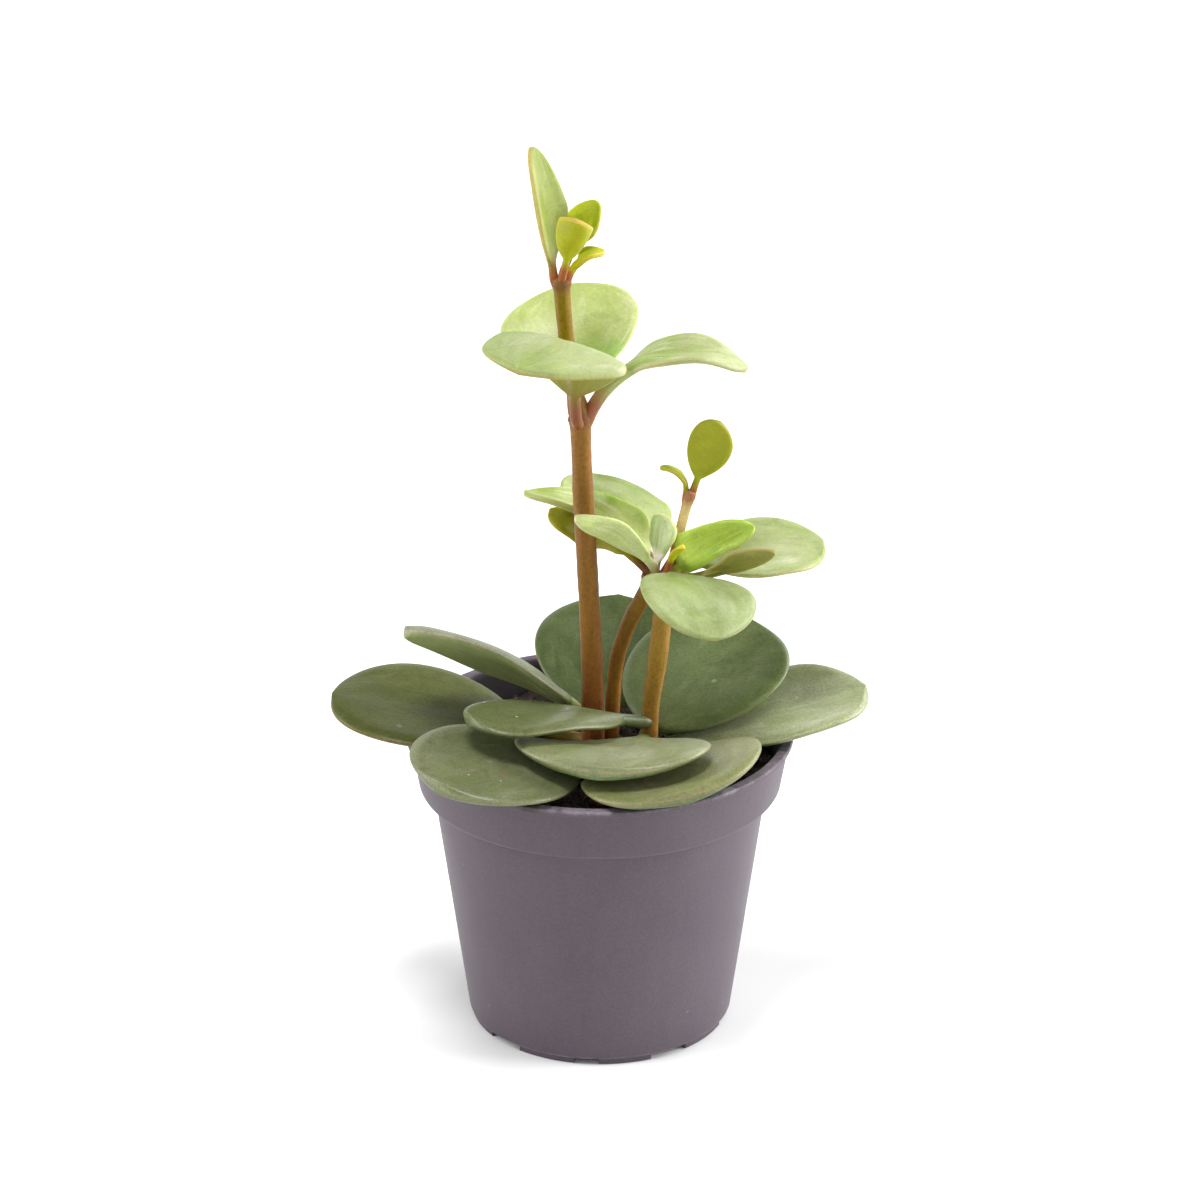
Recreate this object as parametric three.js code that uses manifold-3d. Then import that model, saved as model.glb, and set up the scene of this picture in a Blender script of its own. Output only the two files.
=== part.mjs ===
// Hope peperomia in its small plastic nursery pot.
// Millimetres, +Z up; the origin is the centre of the pot's foot on the surface it stands on.
// +X is the right of the plant, +Y its back. Headings are degrees about Z: 0 right, 90 back, 180 left.
import * as THREE from 'three';
import { mergeVertices } from 'three/addons/utils/BufferGeometryUtils.js';
import Module from 'manifold-3d';

// Driving dimensions
const potHeight = 48;
const rimRadius = 30;
const lipThickness = 0.9;
const collarTopRadius = 29.4;
const collarFootRadius = 28.1;
const collarFootHeight = 39.3;
const wallTopRadius = 26.0;
const wallFootRadius = 20.7;
const footRadius = 20.3;
const footHeight = 0.9;
const footWidth = 1.7;
const wallThickness = 1.1;
const floorTop = 2.1;
const soilTop = 43.4;
const clearance = 0.3;      // between pieces that touch on the real plant
const potSides = 48;
const stemSides = 12;

const deg = THREE.MathUtils.degToRad;

const wasm = await Module();
wasm.setup();

// Solids from closed meshes and back, for cutting one piece by another
function toSolid(geometry) {
  let bare = new THREE.BufferGeometry();
  bare.setAttribute('position', geometry.getAttribute('position').clone());
  if (geometry.index) bare.setIndex(geometry.index.clone());
  bare = mergeVertices(bare, 1e-5);
  return new wasm.Manifold(new wasm.Mesh({
    numProp: 3,
    vertProperties: new Float32Array(bare.getAttribute('position').array),
    triVerts: new Uint32Array(bare.index.array),
  }));
}

function toGeometry(solid) {
  const mesh = solid.getMesh();
  const geometry = new THREE.BufferGeometry();
  geometry.setAttribute('position', new THREE.BufferAttribute(new Float32Array(mesh.vertProperties), 3));
  geometry.setIndex(new THREE.BufferAttribute(new Uint32Array(mesh.triVerts), 1));
  geometry.computeVertexNormals();
  return geometry;
}

function cut(geometry, cutters) {
  let solid = toSolid(geometry);
  for (const cutter of cutters) solid = solid.subtract(toSolid(cutter));
  return toGeometry(solid);
}

// A closed skin over rings of points, each ring with the same count, closed by a point at both ends
function skin(rings, first, last) {
  const count = rings[0].length;
  const points = [first, ...rings.flat(), last];
  const index = [];
  for (let j = 0; j < count; j++) {
    const k = (j + 1) % count;
    index.push(0, 1 + k, 1 + j);
    for (let i = 0; i < rings.length - 1; i++) {
      const a = 1 + i * count + j, b = 1 + i * count + k;
      index.push(a, b, b + count, a, b + count, a + count);
    }
    const end = 1 + (rings.length - 1) * count;
    index.push(end + j, end + k, points.length - 1);
  }
  const geometry = new THREE.BufferGeometry();
  const places = points.flatMap((p) => [p.x, p.y, p.z]);
  geometry.setAttribute('position', new THREE.Float32BufferAttribute(places, 3));
  geometry.setIndex(index);
  geometry.computeVertexNormals();
  return geometry;
}

// A stem is a round tube along a smooth curve through its stations [x, y, z, radius],
// with each ring square to the curve and a low dome on top.
function stemGeometry(stations, grow = 0) {
  const curve = new THREE.CatmullRomCurve3(stations.map(([x, y, z]) => new THREE.Vector3(x, y, z)));
  const steps = (stations.length - 1) * 2;
  const rings = [];
  let tip = null;
  for (let i = 0; i <= steps; i++) {
    const u = i / steps;
    const centre = curve.getPoint(u);
    const along = curve.getTangent(u);
    const across = new THREE.Vector3(0, 1, 0).cross(along).normalize();
    const back = along.clone().cross(across);
    const slot = Math.min(Math.floor(i / 2), stations.length - 2);
    const radius = THREE.MathUtils.lerp(stations[slot][3], stations[slot + 1][3], i / 2 - slot) + grow;
    const ring = [];
    for (let j = 0; j < stemSides; j++) {
      const turn = (j / stemSides) * 2 * Math.PI;
      ring.push(centre.clone()
        .addScaledVector(across, radius * Math.cos(turn))
        .addScaledVector(back, radius * Math.sin(turn)));
    }
    rings.push(ring);
    tip = centre.clone().addScaledVector(along, 0.35 * radius + grow);
  }
  const start = new THREE.Vector3(...stations[0].slice(0, 3));
  start.z -= grow;
  if (grow) rings[0].forEach((p) => { p.z -= grow; });
  return skin(rings, start, tip);
}

// The share of a leaf's bend that is done at the share of its midrib: even, or gathered round bendAt
function bendShare(leaf, share) {
  if (leaf.bendAt === undefined) return share;
  const turn = (place) => Math.tanh((place - leaf.bendAt) / leaf.bendOver);
  return (turn(share) - turn(0)) / (turn(1) - turn(0));
}

// How far a rim stands out past the smooth outline, from its offsets at 1/5, 2/5, 3/5 and 4/5
// of the blade, each spread as a bell of width 0.13
function rimOffset(offsets, t) {
  let sum = 0;
  offsets.forEach((offset, k) => {
    sum += offset * Math.exp(-(((t - (k + 1) / 5) / 0.13) ** 2));
  });
  return sum * Math.min(t / 0.1, 1) * (1 - t) ** 0.3;
}

// A leaf is one skin along its midrib, petiole and blade together. The midrib leaves the stem at
// heading and pitch and turns by sweep and bend up to the tip. The half width at the share t of
// the blade is width/2 * t^a * (1-t)^b, scaled to 1 at its widest, run together with the
// petiole's radius as the root of the sum of squares, with the offsets of its left and right rim.
// The section is a lens with a soft rim, bent across by the angle cup on an arc, and turned about
// the midrib by roll and twist.
function leafGeometry(leaf, rows, sides) {
  const { from, petiole, length, width, thick, neck } = leaf;
  const whole = petiole + length;
  const fine = 160;
  const midrib = [new THREE.Vector3(...from)];
  const direction = (share) => {
    const pitch = deg(leaf.pitch + leaf.bend * bendShare(leaf, share));
    const heading = deg(leaf.heading + leaf.sweep * share);
    return new THREE.Vector3(
      Math.cos(pitch) * Math.cos(heading), Math.cos(pitch) * Math.sin(heading), Math.sin(pitch));
  };
  for (let i = 1; i <= fine; i++) {
    const step = direction((i - 0.5) / fine).multiplyScalar(whole / fine);
    midrib.push(midrib[i - 1].clone().add(step));
  }
  const at = (distance) => {
    const place = Math.min(distance / whole, 1) * fine;
    const low = Math.min(Math.floor(place), fine - 1);
    return midrib[low].clone().lerp(midrib[low + 1], place - low);
  };
  const widest = leaf.a / (leaf.a + leaf.b);
  const peak = widest ** leaf.a * (1 - widest) ** leaf.b;
  const neckRows = 2;
  const bladeRows = rows - neckRows;
  const rings = [];
  for (let i = 0; i < rows; i++) {
    const t = i < neckRows ? 0 : (1 - Math.cos(Math.PI * (i - neckRows) / bladeRows)) / 2;
    const distance = i < neckRows ? petiole * i / neckRows : petiole + t * length;
    const share = distance / whole;
    const pitch = deg(leaf.pitch + leaf.bend * bendShare(leaf, share));
    const heading = deg(leaf.heading + leaf.sweep * share);
    const roll = deg(leaf.roll + leaf.twist * share);
    const level = new THREE.Vector3(-Math.sin(heading), Math.cos(heading), 0);
    const upright = new THREE.Vector3(
      -Math.sin(pitch) * Math.cos(heading), -Math.sin(pitch) * Math.sin(heading), Math.cos(pitch));
    const side = level.clone().multiplyScalar(Math.cos(roll)).addScaledVector(upright, Math.sin(roll));
    const face = upright.clone().multiplyScalar(Math.cos(roll)).addScaledVector(level, -Math.sin(roll));
    const blade = t > 0 ? width / 2 * (t ** leaf.a * (1 - t) ** leaf.b) / peak : 0;
    const half = Math.hypot(blade, neck * Math.sqrt(1 - t));
    const taper = Math.min(1, half / (0.65 * thick));
    const bladeDepth = thick / 2 * Math.sqrt(1 - (1 - taper) ** 2);
    const mix = Math.min(t / 0.25, 1);
    const depth = (1 - mix) * Math.min(neck, half) + mix * bladeDepth;
    const centre = at(distance);
    const curl = deg(leaf.cup) / (width / 2);
    const ring = [];
    for (let j = 0; j < sides; j++) {
      const turn = (j / sides) * 2 * Math.PI;
      const onSide = Math.cos(turn);
      const rim = rimOffset(onSide > 0 ? leaf.left : leaf.right, t) * Math.min(3 * Math.abs(onSide), 1);
      const across = (half + rim) * onSide;
      const lift = depth * Math.sign(Math.sin(turn)) * Math.abs(Math.sin(turn)) ** 0.75;
      const sideways = Math.abs(curl) < 1e-6 ? across : Math.sin(curl * across) / curl;
      const rise = Math.abs(curl) < 1e-6 ? 0 : (1 - Math.cos(curl * across)) / curl;
      ring.push(centre.clone().addScaledVector(side, sideways).addScaledVector(face, rise + lift));
    }
    rings.push(ring);
  }
  return skin(rings, midrib[0].clone(), at(whole));
}

// Pot: a thin wall turned about Z, with a lip, a collar that overhangs the wall, a recessed floor
// and a foot ring broken by notches.
function potGeometry() {
  const inner = (radius) => radius - wallThickness;
  const profile = [
    [0, footHeight + 0.2],
    [footRadius - footWidth, footHeight + 0.2],
    [footRadius - footWidth, 0],
    [footRadius, 0],
    [footRadius, footHeight],
    [wallFootRadius, footHeight + 0.2],
    [THREE.MathUtils.lerp(wallFootRadius, wallTopRadius, 0.5), (collarFootHeight + footHeight) / 2],
    [wallTopRadius, collarFootHeight],
    [collarFootRadius - 0.3, collarFootHeight],
    [collarFootRadius, collarFootHeight + 0.4],
    [collarTopRadius, potHeight - lipThickness],
    [rimRadius, potHeight - lipThickness + 0.1],
    [rimRadius, potHeight - 0.3],
    [rimRadius - 0.3, potHeight],
    [inner(collarTopRadius) + 0.3, potHeight],
    [inner(collarTopRadius), potHeight - 0.4],
    [inner(collarFootRadius) - 0.1, collarFootHeight + 0.9],
    [inner(wallTopRadius), collarFootHeight - 0.6],
    [inner(wallFootRadius) + 0.2, floorTop + 0.6],
    [inner(wallFootRadius) - 0.5, floorTop],
    [0, floorTop],
  ].map(([radius, height]) => new THREE.Vector2(radius, height));
  const body = new THREE.LatheGeometry(profile, potSides);
  body.rotateX(Math.PI / 2);
  // Notches in the foot ring: [direction from the front towards the right, opening], degrees
  const notches = [
    [-47, 18], [-6, 11], [32, 18], [73, 11], [113, 18], [153, 11], [193, 18], [233, 11], [273, 12],
  ];
  const cutters = notches.map(([direction, opening]) => {
    const block = new THREE.BoxGeometry(2 * footRadius * Math.sin(deg(opening / 2)), 6, footHeight * 2);
    block.translate(0, -footRadius, 0);
    block.rotateZ(deg(direction));
    return block;
  });
  return cut(body, cutters);
}

// Soil: fills the pot below its top and lies a little uneven, higher at the stems
function soilGeometry(stems) {
  const gap = wallThickness + clearance;
  const outline = [
    [0, floorTop + clearance],
    [wallFootRadius - gap - 0.6, floorTop + clearance],
    [wallFootRadius - gap, floorTop + 1.2],
    [wallTopRadius - gap, collarFootHeight - 0.6],
    [collarFootRadius - gap - 0.2, collarFootHeight + 1.0],
    [collarFootRadius - gap + 0.1, soilTop - 1.2],
    [26.0, soilTop - 0.4], [22, soilTop], [17, soilTop], [12, soilTop + 0.3], [7, soilTop + 0.6],
    [3, soilTop + 0.8],
    [0, soilTop + 0.9],
  ].map(([radius, height]) => new THREE.Vector2(radius, height));
  const body = new THREE.LatheGeometry(outline, potSides);
  body.rotateX(Math.PI / 2);
  const place = body.getAttribute('position');
  for (let i = 0; i < place.count; i++) {
    const x = place.getX(i), y = place.getY(i), z = place.getZ(i);
    const radius = Math.hypot(x, y);
    if (z > soilTop - 0.7 && radius > 0.1) {
      place.setZ(i, z + 0.35 * Math.sin(0.55 * x + 1.3) * Math.cos(0.48 * y - 0.6));
    }
  }
  return cut(body, stems);
}

// Stems: stations [x, y, z, radius]; the swellings are the joints where leaves stand
const stems = {
  stem_tall: {
    colour: 0x96602a,
    stations: [
      [-1.0, 0, 37, 1.75], [-1.1, 0, 44, 1.8], [-1.1, 0, 51, 1.75], [-1.3, 0, 61, 1.66],
      [-1.7, 0, 70, 1.6], [-2.1, 0, 78, 1.6], [-2.5, 0, 86, 1.62], [-2.8, 0, 94, 1.5],
      [-2.9, 0, 97.2, 1.6], [-3.0, 0, 99.3, 1.85], [-3.3, 0, 100.9, 1.6], [-3.8, 0, 103.4, 1.26],
      [-4.6, 0, 108.5, 1.2], [-5.3, 0, 115, 1.17], [-5.6, 0, 119, 1.25], [-5.7, 0, 121.2, 1.5],
    ],
  },
  stem_middle: {
    colour: 0x8a5426,
    stations: [
      [1.6, 2.4, 37, 1.2], [1.8, 2.3, 46, 1.18], [2.0, 2.1, 52, 1.15], [2.6, 2.0, 58.6, 1.15],
      [3.5, 1.8, 62.2, 1.18], [4.7, 1.6, 65.6, 1.2], [6.3, 1.4, 68.9, 1.22], [7.4, 1.3, 71.4, 1.25],
      [7.8, 1.2, 73.2, 1.4],
    ],
  },
  stem_right: {
    colour: 0x9c6a2c,
    stations: [
      [7.4, -2.2, 37, 1.35], [7.6, -2.0, 47, 1.32], [7.9, -1.9, 53.5, 1.3], [8.8, -1.6, 60, 1.5],
      [9.5, -1.3, 66.7, 1.5], [10.3, -0.9, 72.3, 1.45], [10.8, -0.7, 74.6, 1.55], [11.3, -0.5, 76.4, 1.0],
      [12.2, -0.3, 81.3, 0.74], [12.9, -0.1, 84.3, 0.74], [13.4, 0, 86.2, 0.9], [13.7, 0, 87.4, 1.0],
    ],
  },
};

// What the leaves of one kind share: blade thickness, petiole radius, colour
const kinds = {
  mature: { thick: 2.2, neck: 1.1, rows: 13, sides: 12, colour: 0x6f8355, roughness: 0.5 },
  young: { thick: 1.3, neck: 0.7, rows: 13, sides: 12, colour: 0xb9d07c, roughness: 0.45 },
  bud: { thick: 0.9, neck: 0.55, rows: 11, sides: 10, colour: 0xa3b41f, roughness: 0.4 },
};

const leaves = {
  // Rosette of thick dark leaves on the soil and over the rim
  leaf_far_left: {
    kind: 'mature', stem: 'stem_tall', from: [-2.8, 0.5, 45.6], petiole: 9.5, length: 29.9, width: 23.5,
    pitch: 13, bend: -8, heading: 177, sweep: 0, roll: -8, cup: 7, a: 0.64, b: 0.48, twist: 2,
    left: [0, 0, 0.1, -0.2],
  },
  leaf_upper_left: {
    kind: 'mature', stem: 'stem_tall', from: [-2.6, 0.8, 49.6], petiole: 3.8, length: 28.9, width: 17.1,
    pitch: 47, bend: -32.5, heading: 185, sweep: 11, roll: 22.5, twist: 11, cup: -16, a: 0.46, b: 0.56,
    thick: 2, right: [0, 0, -0.2, 0],
  },
  leaf_back: {
    kind: 'mature', stem: 'stem_tall', from: [-0.8, 1.6, 45.8], petiole: 6.1, length: 26.8, width: 24,
    pitch: 16.5, bend: 2, heading: 83.5, sweep: -1, roll: 3, cup: 8, a: 0.63, b: 0.48, twist: -0.5,
  },
  leaf_back_right: {
    kind: 'mature', stem: 'stem_right', from: [7.35, -0.8, 47.25], petiole: 1.3, length: 26,
    width: 27.8, pitch: 23, bend: -0.5, heading: 49.5, sweep: -2, roll: 0, twist: 0.5, cup: 7.5, a: 0.6,
    b: 0.47, left: [0.2, 0, 0, 0], right: [0.2, 0, 0, 0.1],
  },
  leaf_right: {
    kind: 'mature', stem: 'stem_right', from: [8.85, -1.3, 45.3], petiole: 5.2, length: 28.6,
    width: 21.4, pitch: 14, bend: -2.5, heading: 8, sweep: 0.5, roll: 5.5, cup: 16, a: 0.83, b: 0.53,
    twist: -2, right: [0.3, 0.4, -0.1, -0.2],
  },
  leaf_front_left: {
    kind: 'mature', stem: 'stem_tall', from: [-1, -1.6, 45.55], petiole: 7.3, length: 28.6, width: 25.6,
    pitch: 14, bend: -9.5, heading: -131.5, sweep: 2, roll: -6, cup: 6.5, a: 0.65, b: 0.49, twist: -3,
    left: [-0.1, -0.2, 0.1, 0.1], right: [-0.2, 0.1, 0, 0],
  },
  leaf_front_upper: {
    kind: 'mature', stem: 'stem_right', from: [6.55, -3, 50.45], petiole: 3.7, length: 26.5, width: 14,
    pitch: 17, bend: -10, heading: 208.5, sweep: -4, roll: 1, twist: 1.5, cup: 0, a: 0.72, b: 0.38,
    neck: 0.95, left: [0.1, -0.4, -0.3, 0.6], right: [-0.2, -0.1, 0.1, 0.1],
  },
  leaf_front_middle: {
    kind: 'mature', stem: 'stem_right', from: [6.75, -3.2, 47.3], petiole: 3.4, length: 22.4,
    width: 30.3, pitch: 19, bend: -12, heading: -104.5, sweep: -6, roll: 9, cup: 15.5, a: 0.7, b: 0.43,
    twist: -5.5, left: [0.2, 0.2, -0.1, 0.1], right: [-0.5, -0.2, 0.7, 0.3],
  },
  leaf_front_right: {
    kind: 'mature', stem: 'stem_right', from: [7.95, -3.2, 45.3], petiole: 3.9, length: 26.3, width: 28,
    pitch: 16, bend: -8, heading: -79, sweep: -3.5, roll: 11.5, cup: 12.5, a: 0.6, b: 0.47, neck: 0.95,
    left: [0.5, 0.1, 0, 0.1], right: [0.1, 0.1, -0.1, 0.3],
  },
  // Pale young leaves at the tall stem's middle joint
  young_back: {
    kind: 'young', stem: 'stem_tall', from: [-3.4, 1.6, 100.7], petiole: 3.9, length: 18.1, width: 21.2,
    pitch: 46, bend: -21.5, heading: 95.4, sweep: 0.6, roll: -11.5, cup: 5.5, a: 0.66, b: 0.5,
    twist: -2, left: [-0.1, 0.1, 0.2, -0.1], right: [-0.1, -0.2, 0.1, 0],
  },
  young_front: {
    kind: 'young', stem: 'stem_tall', from: [-3.6, -2.65, 100.8], petiole: 2.9, length: 23.4,
    width: 22.2, pitch: 84.5, bend: -92, heading: -118, sweep: -4, roll: -1.5, twist: -2.5, cup: -16.5,
    a: 0.81, b: 0.59, neck: 0.9, bendAt: 0.48, bendOver: 0.11, left: [0.7, 0.5, 1.4, -0.7],
    right: [-0.2, -0.2, -0.4, 0.3],
  },
  young_right: {
    kind: 'young', stem: 'stem_tall', from: [-1.75, -0.05, 99.4], petiole: 10.3, length: 18.4,
    width: 8.8, pitch: 68.5, bend: -97.5, heading: -3.5, sweep: -7, roll: 12, twist: -9, cup: 23,
    a: 0.57, b: 0.63, neck: 1.05, right: [-0.6, -0.6, 0.1, 0.1], left: [0.7, 0.2, 0.2, 0.1],
  },
  // Small leaves at the tip of the tall stem
  tip_tall: {
    kind: 'bud', stem: 'stem_tall', from: [-6.85, 0.3, 121.4], petiole: 1.9, length: 18.1, width: 8.6,
    pitch: 82, bend: -4, heading: 160, sweep: -4, roll: 0, twist: -3, cup: 36.5, a: 0.67, b: 0.63,
    neck: 0.6, left: [-0.1, 0, 0.1, -0.2], right: [0.2, 0.9, 0.1, -0.2],
  },
  tip_folded: {
    kind: 'bud', stem: 'stem_tall', from: [-5.5, -1.2, 122.05], petiole: 3.9, length: 10.4, width: 6,
    pitch: 60.5, bend: -15.5, heading: -70.5, sweep: -13, roll: -23, cup: 58, a: 0.72, b: 0.56,
    twist: 3.5, left: [-0.1, -0.1, 0.6, 0], right: [0.1, 0.1, 0.1, 0.2],
  },
  tip_round: {
    kind: 'bud', stem: 'stem_tall', from: [-5.25, 0.6, 122.6], petiole: 2.8, length: 8.4, width: 6.5,
    pitch: 58.5, bend: -8, heading: 44.5, sweep: -3, roll: 4.5, cup: 24, a: 0.69, b: 0.57,
    left: [-0.1, 0.2, 0, 0], right: [-0.6, 0.3, 0, -0.3],
  },
  tip_small: {
    kind: 'bud', stem: 'stem_tall', from: [-4.7, -0.3, 121.45], petiole: 1.8, length: 5.3, width: 4.5,
    pitch: 70.5, bend: -72, heading: 8, sweep: 0.5, roll: 0.5, cup: 24.5, a: 0.67, b: 0.63, twist: -2,
    left: [-0.7, 0.3, 0.1, -0.1], right: [-0.3, -0.2, 0.1, 0],
  },
  // Crown of pale leaves on the middle stem
  crown_long: {
    kind: 'young', stem: 'stem_middle', from: [7.75, 1.7, 75], petiole: 0.8, length: 21.8, width: 11,
    pitch: 45.5, bend: -39.5, heading: 170.5, sweep: -8, roll: 2, cup: 66, a: 0.36, b: 0.61, thick: 1.1,
    neck: 0.6, twist: -0.5, right: [1.3, 0.3, 0, -0.2],
  },
  crown_back: {
    kind: 'young', stem: 'stem_middle', from: [8, 3.35, 74.4], petiole: 5.3, length: 16.2, width: 19.8,
    pitch: 27.5, bend: -15.5, heading: 115, sweep: 6.5, roll: 19.5, cup: 8.5, a: 0.6, b: 0.55,
    twist: -2.5, right: [0.3, -0.1, -0.6, 0.2], left: [0.4, 0.5, 0.3, -0.1],
  },
  crown_under: {
    kind: 'young', stem: 'stem_middle', from: [7.25, 1.65, 73.6], petiole: 4.5, length: 14.2,
    width: 8.2, pitch: 36, bend: -31.5, heading: 150.5, sweep: -0.5, roll: -11.5, twist: -0.5,
    cup: -6.5, a: 0.63, b: 0.58, neck: 0.6, left: [-1.2, 0.1, -0.3, 0], right: [-1.4, -2.9, -2.2, -1],
  },
  crown_left: {
    kind: 'young', stem: 'stem_middle', from: [8.05, -1.95, 75.8], petiole: 2.2, length: 15.3,
    width: 6.3, pitch: 54.5, bend: -32, heading: 208, sweep: 3, roll: 20.5, cup: -0.5, a: 0.51, b: 0.6,
    neck: 0.6, thick: 1.1, twist: 28, left: [-0.1, -0.2, 0.1, 0], right: [-0.2, -0.1, 0, -0.1],
  },
  crown_upright: {
    kind: 'bud', stem: 'stem_middle', from: [8.45, -0.6, 74.6], petiole: 1.4, length: 7.7, width: 6.3,
    pitch: 77, bend: 10, heading: 34, sweep: 8, roll: -22, cup: 10.5, a: 0.75, b: 0.51, twist: 27.5,
    left: [-0.2, -0.3, -0.9, -0.7], right: [0.1, 0.3, 1.1, 1.5],
  },
  // Leaves at the right stem's joint
  joint_right: {
    kind: 'young', stem: 'stem_right', from: [11.9, 0, 74.15], petiole: 3.7, length: 19.8, width: 17.4,
    pitch: 16, bend: -21.5, heading: 15.5, sweep: 1, roll: 8, cup: 3.5, a: 0.72, b: 0.55, twist: -1,
    right: [0.1, 0.2, -0.2, -0.2],
  },
  joint_bright: {
    kind: 'young', stem: 'stem_right', from: [11.25, -2.35, 75.2], petiole: 1.1, length: 13.1,
    width: 6.9, pitch: 43, bend: -27.5, heading: 7.5, sweep: -6, roll: 72.5, twist: -31, cup: 26,
    a: 0.5, b: 0.63, thick: 1.0, neck: 0.6, left: [1.3, 0, -0.5, -0.5], right: [-0.8, -1.3, -1.4, -0.4],
  },
  joint_under: {
    kind: 'young', stem: 'stem_right', from: [12.15, -1.55, 73.65], petiole: 1, length: 16, width: 4.4,
    pitch: 22, bend: 5, heading: -22, sweep: -3, roll: -48.5, cup: 4, a: 0.81, b: 0.62, thick: 1.0,
    neck: 0.6, twist: -7.5, left: [0.2, -0.7, -0.2, 0], right: [-1.4, -0.9, 0.7, 0.5],
  },
  joint_front: {
    kind: 'young', stem: 'stem_right', from: [10.5, -3.45, 74.9], petiole: 1.1, length: 17.7,
    width: 18.3, pitch: 20, bend: -62, heading: -65.5, sweep: -2, roll: -10.5, cup: 2.5, a: 0.62,
    b: 0.53, twist: 2, right: [0.1, -0.2, -0.1, 0],
  },
  joint_bud: {
    kind: 'bud', stem: 'stem_right', from: [10.25, -3.1, 76], petiole: 1.9, length: 3.4, width: 1.8,
    pitch: 75.5, bend: -40.5, heading: -32, sweep: -1.5, roll: 4, cup: 18, a: 0.69, b: 0.62, thick: 0.8,
    neck: 0.45, twist: -19, right: [0.4, 0.2, 0, 0],
  },
  // Pair at the top of the right stem
  top_spoon: {
    kind: 'bud', stem: 'stem_right', from: [14.15, 0, 87.7], petiole: 2.1, length: 11, width: 6.9,
    pitch: 70, bend: -5, heading: -38.5, sweep: -6, roll: -57, cup: 8, a: 0.76, b: 0.54, neck: 0.5,
    twist: -16,
  },
  top_curl: {
    kind: 'bud', stem: 'stem_right', from: [12.95, 0, 87], petiole: 0.9, length: 5.7, width: 2.3,
    pitch: 100, bend: -107, heading: 180, sweep: 0, roll: 0, cup: 12.5, a: 0.7, b: 0.6, thick: 0.8,
    neck: 0.4, twist: 1.5, left: [0.2, 0.1, 0, -0.1], right: [-0.4, 0.1, 0.1, 0],
  },
};

const plant = new THREE.Group();

function add(name, geometry, colour, roughness) {
  const material = new THREE.MeshStandardMaterial({ color: colour, roughness, metalness: 0 });
  const mesh = new THREE.Mesh(geometry, material);
  mesh.name = name;
  plant.add(mesh);
}

add('pot', potGeometry(), 0x7a707c, 0.55);
const grown = {};
for (const [name, stem] of Object.entries(stems)) {
  add(name, stemGeometry(stem.stations), stem.colour, 0.45);
  grown[name] = stemGeometry(stem.stations, clearance);
}
add('soil', soilGeometry(Object.values(grown)), 0x2b201a, 0.95);

// What a leaf has where it names no other value: a straight midrib and rims without offsets
const smooth = { sweep: 0, twist: 0, left: [0, 0, 0, 0], right: [0, 0, 0, 0] };

// Each petiole ends on its stem, and a leaf keeps clear of every stem
for (const [name, leaf] of Object.entries(leaves)) {
  const full = { ...smooth, ...kinds[leaf.kind], ...leaf };
  const geometry = cut(leafGeometry(full, full.rows, full.sides), Object.values(grown));
  add(name, geometry, full.colour, full.roughness);
}

export default plant;
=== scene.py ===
# Hope peperomia in its small nursery pot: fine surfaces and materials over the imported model.
# Metres in Blender; the sizes in the dictionaries are millimetres. +Z up, -Y is the front.
import bmesh
import bpy
import numpy as np
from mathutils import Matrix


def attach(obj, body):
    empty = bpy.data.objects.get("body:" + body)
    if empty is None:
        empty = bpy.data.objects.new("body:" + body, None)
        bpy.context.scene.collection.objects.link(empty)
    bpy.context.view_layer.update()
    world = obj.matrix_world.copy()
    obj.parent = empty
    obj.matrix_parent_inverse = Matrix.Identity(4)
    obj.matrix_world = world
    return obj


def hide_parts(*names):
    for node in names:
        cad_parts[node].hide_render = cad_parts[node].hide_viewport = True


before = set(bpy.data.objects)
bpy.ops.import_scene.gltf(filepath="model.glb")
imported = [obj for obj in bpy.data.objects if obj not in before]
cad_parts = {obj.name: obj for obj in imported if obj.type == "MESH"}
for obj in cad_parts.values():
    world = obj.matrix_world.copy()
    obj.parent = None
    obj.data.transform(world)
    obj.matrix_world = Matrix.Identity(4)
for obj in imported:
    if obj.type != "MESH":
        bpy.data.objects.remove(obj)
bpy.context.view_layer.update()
scene = bpy.context.scene
millimetre = 0.001
roundTurn = 6.28          # about a full turn, in radians, for random directions and shifts
print("frame loaded")


# Small helpers for node trees, meshes and pieces

# Fills a node's inputs: one given as a socket is linked, any other value is set.
def wire(tree, node, inputs):
    for key, value in inputs.items():
        if isinstance(value, bpy.types.NodeSocket):
            tree.links.new(value, node.inputs[key])
        else:
            node.inputs[key].default_value = value


# A new node with its inputs filled; settings are its own properties.
def put(tree, kind, inputs=None, **settings):
    node = tree.nodes.new(kind)
    for key, value in settings.items():
        setattr(node, key, value)
    wire(tree, node, inputs or {})
    return node


def maths(tree, operation, *values):
    return put(tree, "ShaderNodeMath", dict(enumerate(values)), operation=operation).outputs[0]


def times(tree, first, *others):
    for other in others:
        first = maths(tree, "MULTIPLY", first, other)
    return first


# Smooth step: from start where value is below low to end where it is above high.
def ramp(tree, value, low, high, start=0.0, end=1.0):
    node = put(tree, "ShaderNodeMapRange", {0: value, 1: low, 2: high, 3: start, 4: end},
               interpolation_type="SMOOTHSTEP")
    return node.outputs[0]


# 1 + amount * (value - 0.5): a gentle brightening and darkening round 1.
def around(tree, value, amount):
    return maths(tree, "MULTIPLY_ADD", maths(tree, "SUBTRACT", value, 0.5), amount, 1.0)


# A bell: 1 where value is at the middle, falling off over the width.
def bell(tree, value, middle, width):
    away = maths(tree, "DIVIDE", maths(tree, "SUBTRACT", value, middle), width)
    return maths(tree, "EXPONENT", times(tree, away, away, -1.0))


def blend(tree, share, first, second, mode="MIX"):
    node = put(tree, "ShaderNodeMix", {0: share, 6: first, 7: second}, data_type="RGBA", blend_type=mode)
    return node.outputs[2]


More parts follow.
